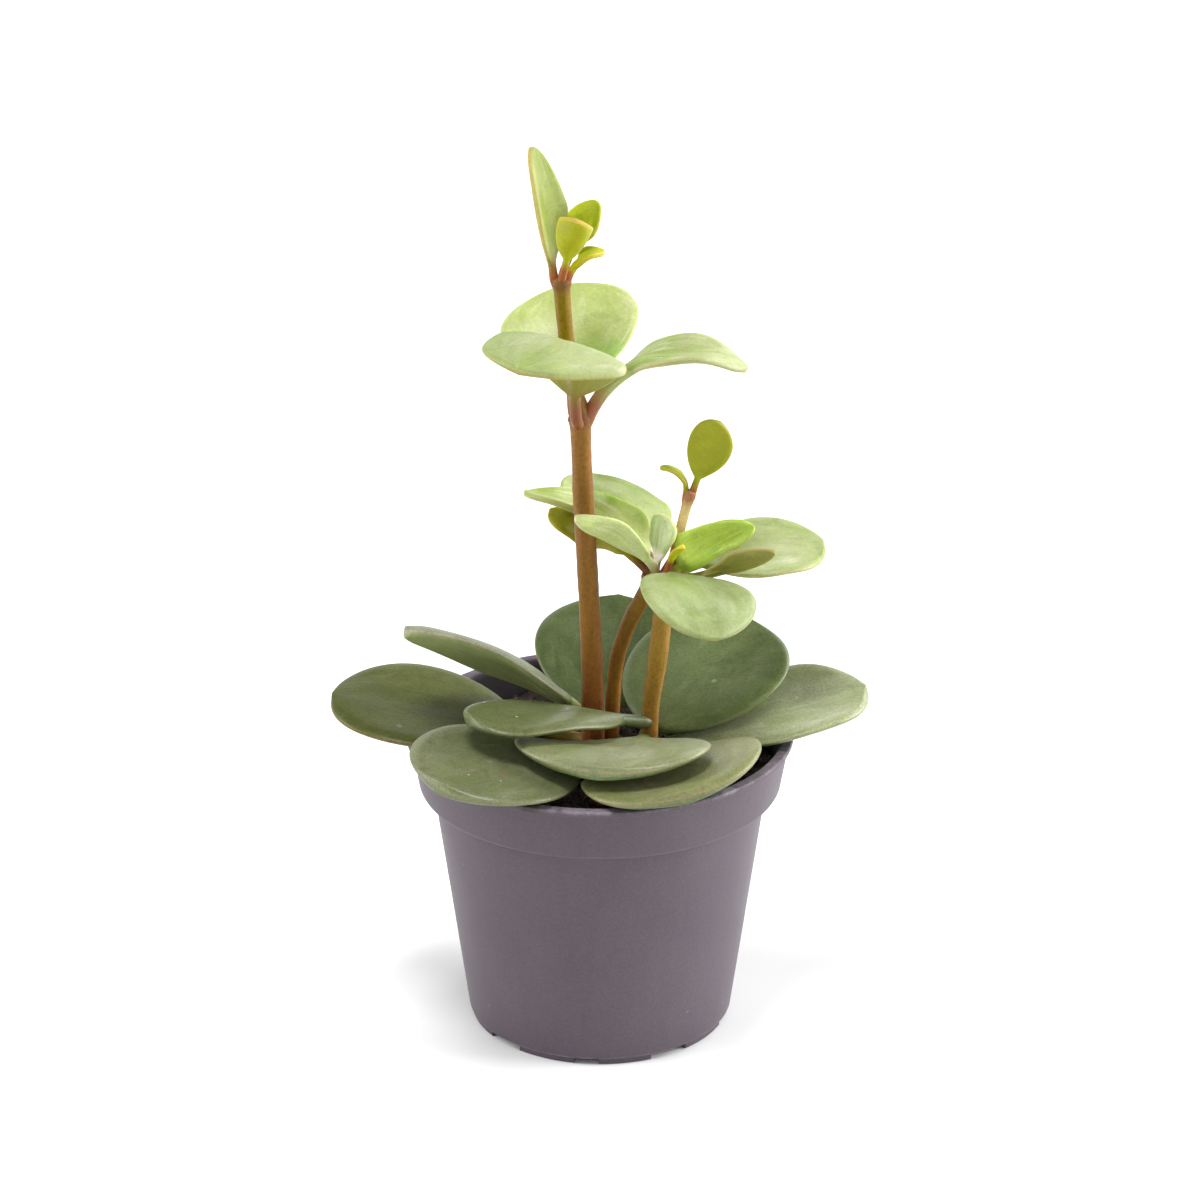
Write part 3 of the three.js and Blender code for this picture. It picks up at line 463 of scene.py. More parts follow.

# Each leaf: its kind, the stem that carries it and the root where its stalk leaves the stem. petiole,
# length and width are in mm. pitch and heading are the angles of the midrib at the root, and bend and
# sweep what they change by up to the tip; bendAt and bendOver gather the bend round a share of the
# midrib. roll is the blade's lean to one side, twist its change up to the tip, and cup the angle that
# each half bends up by. fore and aft are the powers of the outline. left and right are how far each rim
# stands out at 1/5, 2/5, 3/5 and 4/5 of the blade. ridges are soft crests: [middle, height, width] in
# mm across the blade, then the shares of the blade where the crest starts and ends. aside bows the
# blade past a stem: [stem, shift, width, height above which it acts].
# tone is a gain for red, green and blue: partly the leaf's own tone, partly painted light and shade that
# brightens leaves catching reflections and darkens shaded ones. marks are [along, across, radius, colour]:
# scars and dry spots; on leaf_upper_left they paint the highlight along its ridge.
behindTallStem = ["stem_tall", 2.7, 3.0, 70]
leaves = {
    # The rosette of old leaves on the soil and over the rim.
    # A heart colour darker than the blade's base, as on the front and right leaves, paints the shade at the
    # blade's base among the stems.
    "leaf_far_left": dict(
        kind="mature", stem="stem_tall", root=[-2.8, 0.5, 45.6], petiole=9.5, length=29.9, width=23.5,
        pitch=13, bend=-8, heading=177, sweep=0, roll=-8, twist=2, cup=7, fore=0.64, aft=0.48,
        left=[0, 0, 0.1, -0.2],
        tone=[0.57, 0.48, 0.28], rimLine=0.8, coat=0.08, ior=1.3, mottle=0.5, streaks=0.5,
        marks=[[0.62, 0.62, 0.6, "6c744a"], [0.45, 0.78, 0.5, "6a7046"]]),
    "leaf_upper_left": dict(
        kind="mature", stem="stem_tall", root=[-2.6, 0.8, 49.6], petiole=3.8, length=28.9, width=17.1,
        pitch=47, bend=-32.5, heading=185, sweep=11, roll=22.5, twist=11, cup=-16, fore=0.46, aft=0.56,
        thick=2, right=[0, 0, -0.2, 0], ridges=[[0.6, 0.35, 1.3, 0.1, 0.85]],
        tone=[2.07, 1.71, 2.61], rimWidth=0.9, rimLine=0.1, base="667850", pale="80896a",
        # These grey marks paint the highlight along the ridge.
        marks=[[0.42, 0.45, 1.3, "8e887c"], [0.52, 0.45, 1.4, "968f84"], [0.62, 0.5, 1.2, "8e887c"]],
        under="5e7038", rim="6a5c54", rimShare=0.25),
    "leaf_back": dict(
        kind="mature", stem="stem_tall", root=[-0.8, 1.6, 45.8], petiole=6.1, length=26.8, width=24,
        pitch=16.5, bend=2, heading=83.5, sweep=-1, roll=3, twist=-0.5, cup=8, fore=0.63, aft=0.48,
        tone=[0.7, 0.68, 0.62]),
    "leaf_back_right": dict(
        kind="mature", stem="stem_right", root=[7.35, -0.8, 47.25], petiole=1.3, length=26, width=27.8,
        pitch=23, bend=-0.5, heading=49.5, sweep=-2, roll=0, twist=0.5, cup=7.5, fore=0.6, aft=0.47,
        left=[0.2, 0, 0, 0], right=[0.2, 0, 0, 0.1],
        tone=[1.07, 1.0, 1.04], marks=[[0.45, -0.25, 0.5, "9aa18c"]], heart="5c7038", stalk="5a6c34"),
    "leaf_right": dict(
        kind="mature", stem="stem_right", root=[8.85, -1.3, 45.3], petiole=5.2, length=28.6, width=21.4,
        pitch=14, bend=-2.5, heading=8, sweep=0.5, roll=5.5, twist=-2, cup=16, fore=0.83, aft=0.53,
        right=[0.3, 0.4, -0.1, -0.2],
        tone=[2.31, 1.82, 2.79], marks=[[0.62, 0.15, 0.4, "c0a884"], [0.55, -0.7, 0.35, "b0b090"]],
        heart="3e5028", stalk="3a4824", under="3a5422"),
    "leaf_front_left": dict(
        kind="mature", stem="stem_tall", root=[-1, -1.6, 45.55], petiole=7.3, length=28.6, width=25.6,
        pitch=14, bend=-9.5, heading=-131.5, sweep=2, roll=-6, twist=-3, cup=6.5, fore=0.65, aft=0.49,
        left=[-0.1, -0.2, 0.1, 0.1], right=[-0.2, 0.1, 0, 0],
        tone=[1.33, 1.04, 1.53], under="4c6430", heart="4c6030", rimLine=0.15,
        marks=[[0.62, 0.25, 0.5, "8a5c3e"], [0.66, 0.22, 0.35, "8e6444"],
               [0.72, 0.45, 0.22, "c8c89a"], [0.8, 0.1, 0.25, "b9bd90"]]),
    "leaf_front_upper": dict(
        kind="mature", stem="stem_right", root=[6.55, -3, 50.45], petiole=3.7, length=26.5, width=14,
        pitch=17, bend=-10, heading=208.5, sweep=-4, roll=1, twist=1.5, cup=0, fore=0.72, aft=0.38,
        neck=0.95, left=[0.1, -0.4, -0.3, 0.6], right=[-0.2, -0.1, 0.1, 0.1], drop=0.6,
        tone=[1.02, 0.85, 1.04], marks=[[0.72, 0.2, 0.25, "cfcf9a"], [0.35, -0.2, 0.3, "b4a77c"]],
        heart="4c5e34", heartReach=0.02, under="4a6030", stalk="5c5a34"),
    "leaf_front_middle": dict(
        kind="mature", stem="stem_right", root=[6.75, -3.2, 47.3], petiole=3.4, length=22.4, width=30.3,
        pitch=19, bend=-12, heading=-104.5, sweep=-6, roll=9, twist=-5.5, cup=15.5, fore=0.7, aft=0.43,
        left=[0.2, 0.2, -0.1, 0.1], right=[-0.5, -0.2, 0.7, 0.3],
        tone=[1.89, 1.46, 2.17], heart="3c5026", stalk="3a4a24", under="3c5622"),
    "leaf_front_right": dict(
        kind="mature", stem="stem_right", root=[7.95, -3.2, 45.3], petiole=3.9, length=26.3, width=28,
        pitch=16, bend=-8, heading=-79, sweep=-3.5, roll=11.5, cup=12.5, fore=0.6, aft=0.47, neck=0.95,
        left=[0.5, 0.1, 0, 0.1], right=[0.1, 0.1, -0.1, 0.3],
        tone=[1.76, 1.3, 1.64], heart="40522a", stalk="3c4c26", under="40582a"),
    # Three pale leaves at the tall stem's middle joint.
    "young_back": dict(
        kind="young", stem="stem_tall", root=[-3.4, 1.6, 100.7], petiole=3.9, length=18.1, width=21.2,
        pitch=46, bend=-21.5, heading=95.4, sweep=0.6, roll=-11.5, twist=-2, cup=5.5, fore=0.66, aft=0.5,
        left=[-0.1, 0.1, 0.2, -0.1], right=[-0.1, -0.2, 0.1, 0],
        tone=[1.02, 0.89, 1.05], under="9aac4c", mottle=0.55, heart="9ac65c", heartReach=0.3),
    "young_front": dict(
        kind="young", stem="stem_tall", root=[-3.6, -2.65, 100.8], petiole=2.9, length=23.4, width=22.2,
        pitch=84.5, bend=-92, bendAt=0.48, bendOver=0.11, heading=-118, sweep=-4, roll=-1.5, twist=-2.5,
        cup=-16.5, fore=0.81, aft=0.59, neck=0.9, left=[0.7, 0.5, 1.4, -0.7],
        right=[-0.2, -0.2, -0.4, 0.3], flare=0.0,
        tone=[0.73, 0.65, 0.87], heart="8a9430", stalkReach=0.02, coat=0.08, ior=1.3, mottle=0.7,
        under="96a01a", stalk="7c4a2a"),
    "young_right": dict(
        kind="young", stem="stem_tall", root=[-1.75, -0.05, 99.4], petiole=10.3, length=18.4, width=8.8,
        pitch=68.5, bend=-97.5, heading=-3.5, sweep=-7, roll=12, twist=-9, cup=23, fore=0.57, aft=0.63,
        neck=1.05, left=[0.7, 0.2, 0.2, 0.1], right=[-0.6, -0.6, 0.1, 0.1], flare=0.0,
        tone=[0.93, 0.78, 1.25], stalkReach=-0.34, heart="8c983c", stalk="8a5030"),
    # Small leaves at the tall stem's tip.
    "tip_tall": dict(
        kind="bud", stem="stem_tall", root=[-6.85, 0.3, 121.4], petiole=1.9, length=18.1, width=8.6,
        pitch=82, bend=-4, heading=160, sweep=-4, roll=0, twist=-3, cup=36.5, fore=0.67, aft=0.63,
        neck=0.6, left=[-0.1, 0, 0.1, -0.2], right=[0.2, 0.9, 0.1, -0.2],
        tone=[0.72, 0.67, 0.58], base="a9b868", deep="8ca24c", pale="c6cf9c", rim="bcae7c", rimWidth=0.25,
        rimLine=0.3, stalk="9a5630", stalkReach=0.0),
    "tip_folded": dict(
        kind="bud", stem="stem_tall", root=[-5.5, -1.2, 122.05], petiole=3.9, length=10.4, width=6,
        pitch=60.5, bend=-15.5, heading=-70.5, sweep=-13, roll=-23, twist=3.5, cup=58, fore=0.72, aft=0.56,
        left=[-0.1, -0.1, 0.6, 0], right=[0.1, 0.1, 0.1, 0.2],
        tone=[0.73, 0.72, 0.12], base="b0b200", deep="98a400", rim="d0a878", pale="b6b40e"),
    "tip_round": dict(
        kind="bud", stem="stem_tall", root=[-5.25, 0.6, 122.6], petiole=2.8, length=8.4, width=6.5,
        pitch=58.5, bend=-8, heading=44.5, sweep=-3, roll=4.5, cup=24, fore=0.69, aft=0.57,
        left=[-0.1, 0.2, 0, 0], right=[-0.6, 0.3, 0, -0.3],
        tone=[0.93, 0.9, 1.02]),
    "tip_small": dict(
        kind="bud", stem="stem_tall", root=[-4.7, -0.3, 121.45], petiole=1.8, length=5.3, width=4.5,
        pitch=70.5, bend=-72, heading=8, sweep=0.5, roll=0.5, twist=-2, cup=24.5, fore=0.67, aft=0.63,
        left=[-0.7, 0.3, 0.1, -0.1], right=[-0.3, -0.2, 0.1, 0],
        tone=[0.81, 0.84, 0.12], base="b4b40c", deep="9aa604", pale="c8c43c", rim="d4a878"),
    # The crown of the middle stem.
    "crown_long": dict(
        kind="young", stem="stem_middle", root=[7.75, 1.7, 75], petiole=0.8, length=21.8, width=11,
        pitch=45.5, bend=-39.5, heading=170.5, sweep=-8, roll=2, twist=-0.5, cup=66, fore=0.36, aft=0.61,
        thick=1.1, neck=0.6, right=[1.3, 0.3, 0, -0.2], aside=[behindTallStem],
        tone=[0.93, 0.8, 0.9]),
    "crown_back": dict(
        kind="young", stem="stem_middle", root=[8, 3.35, 74.4], petiole=5.3, length=16.2, width=19.8,
        pitch=27.5, bend=-15.5, heading=115, sweep=6.5, roll=19.5, twist=-2.5, cup=8.5, fore=0.6, aft=0.55,
        left=[0.4, 0.5, 0.3, -0.1], right=[0.3, -0.1, -0.6, 0.2], aside=[behindTallStem],
        tone=[0.76, 0.7, 0.69]),
    "crown_under": dict(
        kind="young", stem="stem_middle", root=[7.25, 1.65, 73.6], petiole=4.5, length=14.2, width=8.2,
        pitch=36, bend=-31.5, heading=150.5, sweep=-0.5, roll=-11.5, twist=-0.5, cup=-6.5, fore=0.63,
        aft=0.58, neck=0.6, left=[-1.2, 0.1, -0.3, 0], right=[-1.4, -2.9, -2.2, -1],
        aside=[behindTallStem],
        tone=[0.8, 0.56, 0.12], coat=0.0, ior=1.25),
    "crown_left": dict(
        kind="young", stem="stem_middle", root=[8.05, -1.95, 75.8], petiole=2.2, length=15.3, width=6.3,
        pitch=54.5, bend=-32, heading=208, sweep=3, roll=20.5, twist=28, cup=-0.5, fore=0.51, aft=0.6,
        thick=1.1, neck=0.6, left=[-0.1, -0.2, 0.1, 0], right=[-0.2, -0.1, 0, -0.1],
        tone=[1.55, 1.39, 2.58]),
    "crown_upright": dict(
        kind="bud", stem="stem_middle", root=[8.45, -0.6, 74.6], petiole=1.4, length=7.7, width=6.3,
        pitch=77, bend=10, heading=34, sweep=8, roll=-22, twist=27.5, cup=10.5, fore=0.75, aft=0.51,
        left=[-0.2, -0.3, -0.9, -0.7], right=[0.1, 0.3, 1.1, 1.5],
        tone=[1.25, 1.13, 1.3], base="a4b880", deep="86a05c", pale="c4d0a8", rim="c2cc9c", heartReach=0.25,
        heart="e6ead8", rimLine=0.1),
    # Leaves at the right stem's joint.
    "joint_right": dict(
        kind="young", stem="stem_right", root=[11.9, 0, 74.15], petiole=3.7, length=19.8, width=17.4,
        pitch=16, bend=-21.5, heading=15.5, sweep=1, roll=8, twist=-1, cup=3.5, fore=0.72, aft=0.55,
        right=[0.1, 0.2, -0.2, -0.2],
        tone=[0.77, 0.68, 0.92], mottle=0.7),
    "joint_bright": dict(
        kind="young", stem="stem_right", root=[11.25, -2.35, 75.2], petiole=1.1, length=13.1, width=6.9,
        pitch=43, bend=-27.5, heading=7.5, sweep=-6, roll=72.5, twist=-31, cup=26, fore=0.5, aft=0.63,
        thick=1, neck=0.6, left=[1.3, 0, -0.5, -0.5], right=[-0.8, -1.3, -1.4, -0.4],
        aside=[["stem_right", -0.7, 1.6, 75.6]],
        tone=[0.89, 0.85, 0.5], base="aeca58", deep="86ac30", pale="c8dc8c", mottle=1.0, streaks=0.95),
    "joint_under": dict(
        kind="young", stem="stem_right", root=[12.15, -1.55, 73.65], petiole=1, length=16, width=4.4,
        pitch=22, bend=5, heading=-22, sweep=-3, roll=-48.5, twist=-7.5, cup=4, fore=0.81, aft=0.62,
        thick=1, neck=0.6, left=[0.2, -0.7, -0.2, 0], right=[-1.4, -0.9, 0.7, 0.5],
        tone=[0.56, 0.44, 0.3]),
    "joint_front": dict(
        kind="young", stem="stem_right", root=[10.5, -3.45, 74.9], petiole=1.1, length=17.7, width=18.3,
        pitch=20, bend=-62, heading=-65.5, sweep=-2, roll=-10.5, twist=2, cup=2.5, fore=0.62, aft=0.53,
        right=[0.1, -0.2, -0.1, 0],
        tone=[0.66, 0.59, 0.85], mottle=0.6, streaks=0.6),
    "joint_bud": dict(
        kind="bud", stem="stem_right", root=[10.25, -3.1, 76], petiole=1.9, length=3.4, width=1.8,
        pitch=75.5, bend=-40.5, heading=-32, sweep=-1.5, roll=4, twist=-19, cup=18, fore=0.69, aft=0.62,
        thick=0.8, neck=0.45, right=[0.4, 0.2, 0, 0],
        tone=[1.2, 1.2, 0.3], base="b8bc40", deep="9ea820", pale="ccc850", rim="cca848", under="a8ac30"),
    # The pair on top of the right stem.
    "top_spoon": dict(
        kind="bud", stem="stem_right", root=[14.15, 0, 87.7], petiole=2.1, length=11, width=6.9, pitch=70,
        bend=-5, heading=-38.5, sweep=-6, roll=-57, twist=-16, cup=8, fore=0.76, aft=0.54, neck=0.5,
        tone=[0.66, 0.65, 0.25], base="959c0e", deep="75840a", pale="b2b632", rim="b4b63c"),
    "top_curl": dict(
        kind="bud", stem="stem_right", root=[12.95, 0, 87], petiole=0.9, length=5.7, width=2.3, pitch=100,
        bend=-107, heading=180, sweep=0, roll=0, twist=1.5, cup=12.5, fore=0.7, aft=0.6, thick=0.8,
        neck=0.4, left=[0.2, 0.1, 0, -0.1], right=[-0.4, 0.1, 0.1, 0],
        tone=[0.68, 0.72, 0.12], base="a8ae18", deep="8c980c", pale="c4c64c", rim="c4bc50"),
}


# How every leaf's skin is drawn. Shares are of the blade's length, from where the blade starts.
leafSkin = dict(
    midribSteps=320, stalkRows=20,
    bellWidth=0.13,       # share over which an offset of the rim spreads
    flareFade=1.1,        # mm of stalk over which the flare dies out
    thinBelow=0.65,       # a half width of fewer thicknesses than this thins the blade
    roundUntil=0.25,      # share at which the round stalk has become the flat blade
    smoothEnds=[0.12, 0.1],  # shares at the base and the tip over which groove and waves fade in
    grooveWidth=0.05,     # share of the leaf's width
    waves=4,
    ridgeEase=0.15,       # share over which a ridge starts and ends
    asideEase=1.5,        # mm of height over which aside sets in
    sightFall=0.43,       # fall of the line of sight for each mm towards the back
    faceChange=6)         # how sharply the colour changes from the upper face to the lower at the rim

# What every leaf's paint shares; relief and glowReach are in metres.
leafFinish = dict(
    lotStep=3.7, speck="b4b898", speckShare=0.5, speckKeep=0.05, markShare=0.75, markRagged=1.1,
    relief=0.0003, glowReach=0.0014, glowColours=(0.6, 1.0, 0.25), coatRoughness=0.26)


# The share of a leaf's bend that is done: even along the midrib, or an S-curve round bendAt.
def bendShare(leaf, share):
    if "bendAt" not in leaf:
        return share
    turn = np.tanh((np.array([0.0, 1.0]) - leaf["bendAt"]) / leaf["bendOver"])
    return (np.tanh((share - leaf["bendAt"]) / leaf["bendOver"]) - turn[0]) / (turn[1] - turn[0])


# Rise and heading of the midrib, in radians, at shares of its length.
def midribAngles(leaf, share):
    rise = np.radians(leaf["pitch"] + leaf["bend"] * bendShare(leaf, share))
    return rise, np.radians(leaf["heading"] + leaf["sweep"] * share)


# How far a rim stands out at the share t of the blade: bells round 1/5, 2/5, 3/5 and 4/5 that die out
# at both ends.
def rimOffset(offsets, t):
    bells = np.exp(-((t[:, None] - np.arange(1, 5) / 5) / leafSkin["bellWidth"]) ** 2)
    return (bells @ np.array(offsets, float) * np.minimum(t / 0.1, 1) * (1 - t) ** 0.3)[:, None]


# Where a stalk starts inside its stem: on the stem's axis, lower than the stalk's root by a quarter of
# drop, and by up to the whole of it the more steeply the stalk rises, and a little under the stem's top.
def socketPlace(leaf):
    stations = np.array(stems[leaf["stem"]]["stations"])
    climb = 0.25 + 0.75 * max(np.sin(np.radians(leaf["pitch"])), 0)
    underTop = 0.4
    height = min(leaf["root"][2] - leaf["drop"] * climb, stations[-1, 2] - underTop)
    return np.array([np.interp(height, stations[:, 2], stations[:, k]) for k in (0, 1)] + [height])


# A leaf's skin. The midrib is the running sum of unit steps whose pitch and heading turn by bend and
# sweep. Before its root a quadratic curve brings it out of the stem. Half the width at the share t of
# the blade is width/2 * t^fore * (1-t)^aft, scaled to 1 at its widest, joined with the stalk's radius as
# the root of the sum of squares. The stalk widens by the share flare near its root. The section keeps
# its full depth up to rollOver from the rim and rounds off there on a quarter ellipse, sinks along the
# midrib by groove, waves gently, and bends over an arc by cup. aside moves the blade along the line of
# sight by shift times a bell of its distance from the stem's axis.
def leafRings(leaf, seed):
    rows, sides = leaf["rows"], leaf["sides"]
    petiole, length, thick, neck = leaf["petiole"], leaf["length"], leaf["thick"], leaf["neck"]
    whole = petiole + length
    fine = leafSkin["midribSteps"]
    rise, head = midribAngles(leaf, (np.arange(fine) + 0.5) / fine)
    steps = np.stack([np.cos(rise) * np.cos(head), np.cos(rise) * np.sin(head), np.sin(rise)], 1)
    midrib = np.array(leaf["root"]) + np.concatenate([np.zeros((1, 3)), np.cumsum(steps, 0)]) * whole / fine

    stalkRows = leafSkin["stalkRows"]
    socket = socketPlace(leaf)
    heel = np.linalg.norm(socket - midrib[0])
    count = rows - stalkRows
    t = np.concatenate([np.zeros(stalkRows), (1 - np.cos(np.pi * np.arange(count) / count)) / 2])
    distance = petiole + t * length
    distance[:stalkRows] = -heel + (petiole + heel) * np.arange(stalkRows) / stalkRows
    share = np.maximum(distance, 0) / whole
    centre = np.stack([np.interp(share * fine, np.arange(fine + 1), midrib[:, k]) for k in range(3)], 1)
    u = np.clip(1 + distance / heel, 0, 1)[:, None]
    knee = midrib[0] - steps[0] * heel * 0.5
    inside = distance[:, None] < 0
    centre = np.where(inside, quadratic(u, socket, knee, midrib[0]), centre)
    rise, head = midribAngles(leaf, share)
    roll = np.radians(leaf["roll"] + leaf["twist"] * share)[:, None]
    level = np.stack([-np.sin(head), np.cos(head), 0 * head], 1)
    upright = np.stack([-np.sin(rise) * np.cos(head), -np.sin(rise) * np.sin(head), np.cos(rise)], 1)
    side = level * np.cos(roll) + upright * np.sin(roll)
    face = upright * np.cos(roll) - level * np.sin(roll)
    forward = unit(2 * (1 - u) * (knee - socket) + 2 * u * (midrib[0] - knee))
    turned = unit(side - (side * forward).sum(1)[:, None] * forward)
    side, face = np.where(inside, turned, side), np.where(inside, np.cross(forward, turned), face)

    widest = leaf["fore"] / (leaf["fore"] + leaf["aft"])
    peak = widest ** leaf["fore"] * (1 - widest) ** leaf["aft"]
    blade = leaf["width"] / 2 * t ** leaf["fore"] * (1 - t) ** leaf["aft"] / peak
    flare = 1 + leaf["flare"] * np.exp(-np.maximum(distance, 0) / leafSkin["flareFade"])
    half = np.hypot(blade, neck * np.sqrt(1 - t) * flare)[:, None]
    turn = 2 * np.pi * np.arange(sides)[None] / sides
    cosine, sine = np.cos(turn), np.sin(turn)
    offset = np.where(cosine > 0, rimOffset(leaf["left"], t), rimOffset(leaf["right"], t))
    reach = half + offset * np.minimum(3 * np.abs(cosine), 1)
    narrow = np.minimum(1, reach / (leafSkin["thinBelow"] * thick))
    bladeDepth = thick / 2 * np.sqrt(1 - (1 - narrow) ** 2) * (1 - leaf["dome"] * cosine ** 2)
    inward = np.minimum(reach * (1 - np.abs(cosine)) / np.minimum(leaf["rollOver"], reach), 1)
    mix = np.minimum(t / leafSkin["roundUntil"], 1)[:, None]
    lift = (1 - mix) * np.minimum(neck * flare[:, None], reach) * sine
    lift = lift + mix * bladeDepth * np.sign(sine) * np.sqrt(1 - (1 - inward) ** 2)
    across = reach * cosine
    base, tip = leafSkin["smoothEnds"]
    on = np.clip(t / base, 0, 1)[:, None] * np.clip((1 - t) / tip, 0, 1)[:, None]
    lift = lift - leaf["groove"] * np.exp(-(across / (leafSkin["grooveWidth"] * leaf["width"])) ** 2) * on
    for k in range(leafSkin["waves"]):
        pull = np.random.default_rng(seed * 7 + k)
        along, over, shift = pull.uniform(0.4, 1.6), pull.uniform(-1.1, 1.1), pull.uniform(0, roundTurn)
        phase = roundTurn * (along * t[:, None] + over * cosine * 0.5) + shift
        lift = lift + leaf["wave"] * on * np.sin(phase)
    for middle, height, width, low, high in leaf["ridges"]:
        crest = np.exp(-((across - middle) / width) ** 2)
        ease = leafSkin["ridgeEase"]
        reached = np.clip((t - low) / ease, 0, 1) * np.clip((high - t) / ease, 0, 1)
        lift = lift + height * crest * (reached * reached * (3 - 2 * reached))[:, None]
    curl = np.radians(leaf["cup"]) / (leaf["width"] / 2) + 1e-7
    sideways, arc = np.sin(curl * across) / curl, (1 - np.cos(curl * across)) / curl
    rings = centre[:, None] + side[:, None] * sideways[..., None] + face[:, None] * (arc + lift)[..., None]
    for stem, shift, width, low in leaf["aside"]:
        stations = np.array(stems[stem]["stations"])
        off = rings[..., 0] - np.interp(rings[..., 2], stations[:, 2], stations[:, 0])
        setIn = np.clip((rings[..., 2] - low) / leafSkin["asideEase"], 0, 1)
        bow = shift * np.exp(-(off / width) ** 2) * setIn
        rings = rings + bow[..., None] * [0, 1, -leafSkin["sightFall"]]

    along = np.where(np.arange(rows) < stalkRows, (distance - petiole) / length, t)[:, None]
    upper = np.clip(sine * leafSkin["faceChange"] + 0.5, 0, 1)
    values = {"along": along + 0 * turn, "across": cosine + 0 * along, "upper": upper + 0 * along,
              "edge": reach * (1 - np.abs(cosine))}
    return rings, centre[0], midrib[-1], values


# Leaf paint with the leaf's own colours times its tone gain, which is partly painted light and shade, specks
# if its kind has them, and its marks on the upper face.
def leafMaterial(name, leaf, rings, values, number):
    material, tree, shader = newMaterial(name + "Paint")
    colours = {key.capitalize(): tint(leaf[key], leaf["tone"])
               for key in ("base", "deep", "pale", "rim", "under", "heart")}
    paint = useGroup(tree, leafPaint, {
        "Along": attribute(tree, "along"), "Across": attribute(tree, "across"),
        "Upper": attribute(tree, "upper"), "Edge": attribute(tree, "edge"),
        "Lot": leafFinish["lotStep"] * number, **colours, "Line": tint(leaf["line"]),
        "Stalk": tint(leaf["stalk"]), "Streaks": leaf["streaks"], "Mottle": leaf["mottle"],
        "Rim Width": leaf["rimWidth"], "Rim Share": leaf["rimShare"], "Line Share": leaf["rimLine"],
        "Grain": leaf["grain"], "Heart Reach": leaf["heartReach"], "Stalk Reach": leaf["stalkReach"]})
    colour = paint["Colour"]
    if leaf["specks"]:
        keep = leafFinish["speckKeep"] * leaf["specks"]
        dots = speckMask(tree, 330.0, 0.13, keep)
        colour = blend(tree, times(tree, dots, leafFinish["speckShare"]), colour, tint(leafFinish["speck"]))
    for along, across, radius, code in leaf["marks"]:
        row = np.argmin(np.abs(values["along"][:, 0] - along))
        column = np.argmin(np.abs(values["across"][row, :leaf["sides"] // 2] - across))
        place = rings[row, column] * millimetre
        spot = markMask(tree, place, radius * millimetre, leafFinish["markRagged"])
        colour = blend(tree, times(tree, spot, leafFinish["markShare"]), colour, tint(code))
    dull = ramp(tree, paint["Patch"], 0.3, 0.7, *leaf["roughness"])
    normal = relief(tree, paint["Height"], leaf["bump"], leafFinish["relief"])
    wire(tree, shader, {"Base Color": colour, "Roughness": dull, "Normal": normal,
                        "Subsurface Weight": leaf["glow"], "Subsurface Scale": leafFinish["glowReach"],
                        "Subsurface Radius": leafFinish["glowColours"], "IOR": leaf["ior"],
                        "Coat Weight": leaf["coat"], "Coat Roughness": leafFinish["coatRoughness"]})
    return material


for number, (node, shape) in enumerate(leaves.items()):
    leaf = {**plain, **kinds[shape["kind"]], **shape}
    rings, first, last, values = leafRings(leaf, number)
    name = pieceName(node)
    material = leafMaterial(name, leaf, rings, values, number)
    addPiece(name, skinMesh(name, rings, first, last, values), material, "leaf_" + leaf["kind"], node)
print("leaves made:", len(leaves))


# Pot

pot = dict(
    sides=288,
    # profile corners [radius, height, fillet], from under the middle of the floor, outside first
    corners=[
        [18.6, 1.1, 0.15], [18.6, 0.0, 0.15], [20.3, 0.0, 0.2], [20.32, 0.95, 0.1], [20.7, 1.15, 0.15],
        [26.0, 39.3, 0.4], [27.85, 39.25, 0.15], [28.1, 39.6, 0.25], [29.4, 47.05, 0.15],
        [30.0, 47.15, 0.12], [30.0, 48.0, 0.32], [28.35, 48.0, 0.4], [26.9, 40.2, 1.0], [24.9, 38.7, 1.0],
        [19.85, 2.5, 1.2], [18.6, 2.1, 0.6]],
    floor=[1.1, 2.1],     # heights of the floor's two faces
    # notches in the foot ring: [direction from the front towards the right, opening], degrees
    notches=[[-47, 18], [-6, 11], [32, 18], [73, 11], [113, 18], [153, 11], [193, 18], [233, 11],
             [273, 12]],
    notchTop=0.9,
    notchSlope=0.05,      # degrees that each side of a notch leans either way
    innerFrom=12,         # the inner wall and the outer part of the floor take the painted shade from this radius
    unround=[0.02, 20, 48],  # mm that the wall is out of round, growing between two heights
    # The last colour is the painted shade that darkens the inside of the wall under the rim.
    body="514750", cloud="584e56", worn="8c828e", dust="9c929c", earth="3c2c24", damp="2a2426",
    # worn, dusty and earthy places at markRadius; the worn and dusty ones on the rim's crest are partly a
    # painted highlight: [direction, height, radius, share, colour]
    markRadius=29.8, markRagged=1.5,
    marks=[[-7, 48.0, 2.6, 0.6, "worn"], [0, 48.0, 2.2, 0.5, "dust"], [-20.3, 47.4, 1.6, 0.6, "earth"],
           [-15, 48.0, 2.0, 0.45, "worn"], [41, 48.0, 1.6, 0.5, "dust"], [165, 48.0, 3.0, 0.4, "worn"]],
    # heights between which scuffs, earth and the painted shade inside set in
    scuffed=[47.2, 47.8], soiled=[46.6, 47.0], innerShadeSpan=[47.9, 46.6],
    # height and width of the paler lines: the marks on the rim's crest, and the painted highlight over the
    # foot ring
    crest=[47.9, 0.3], footHighlight=[1.2, 0.18])


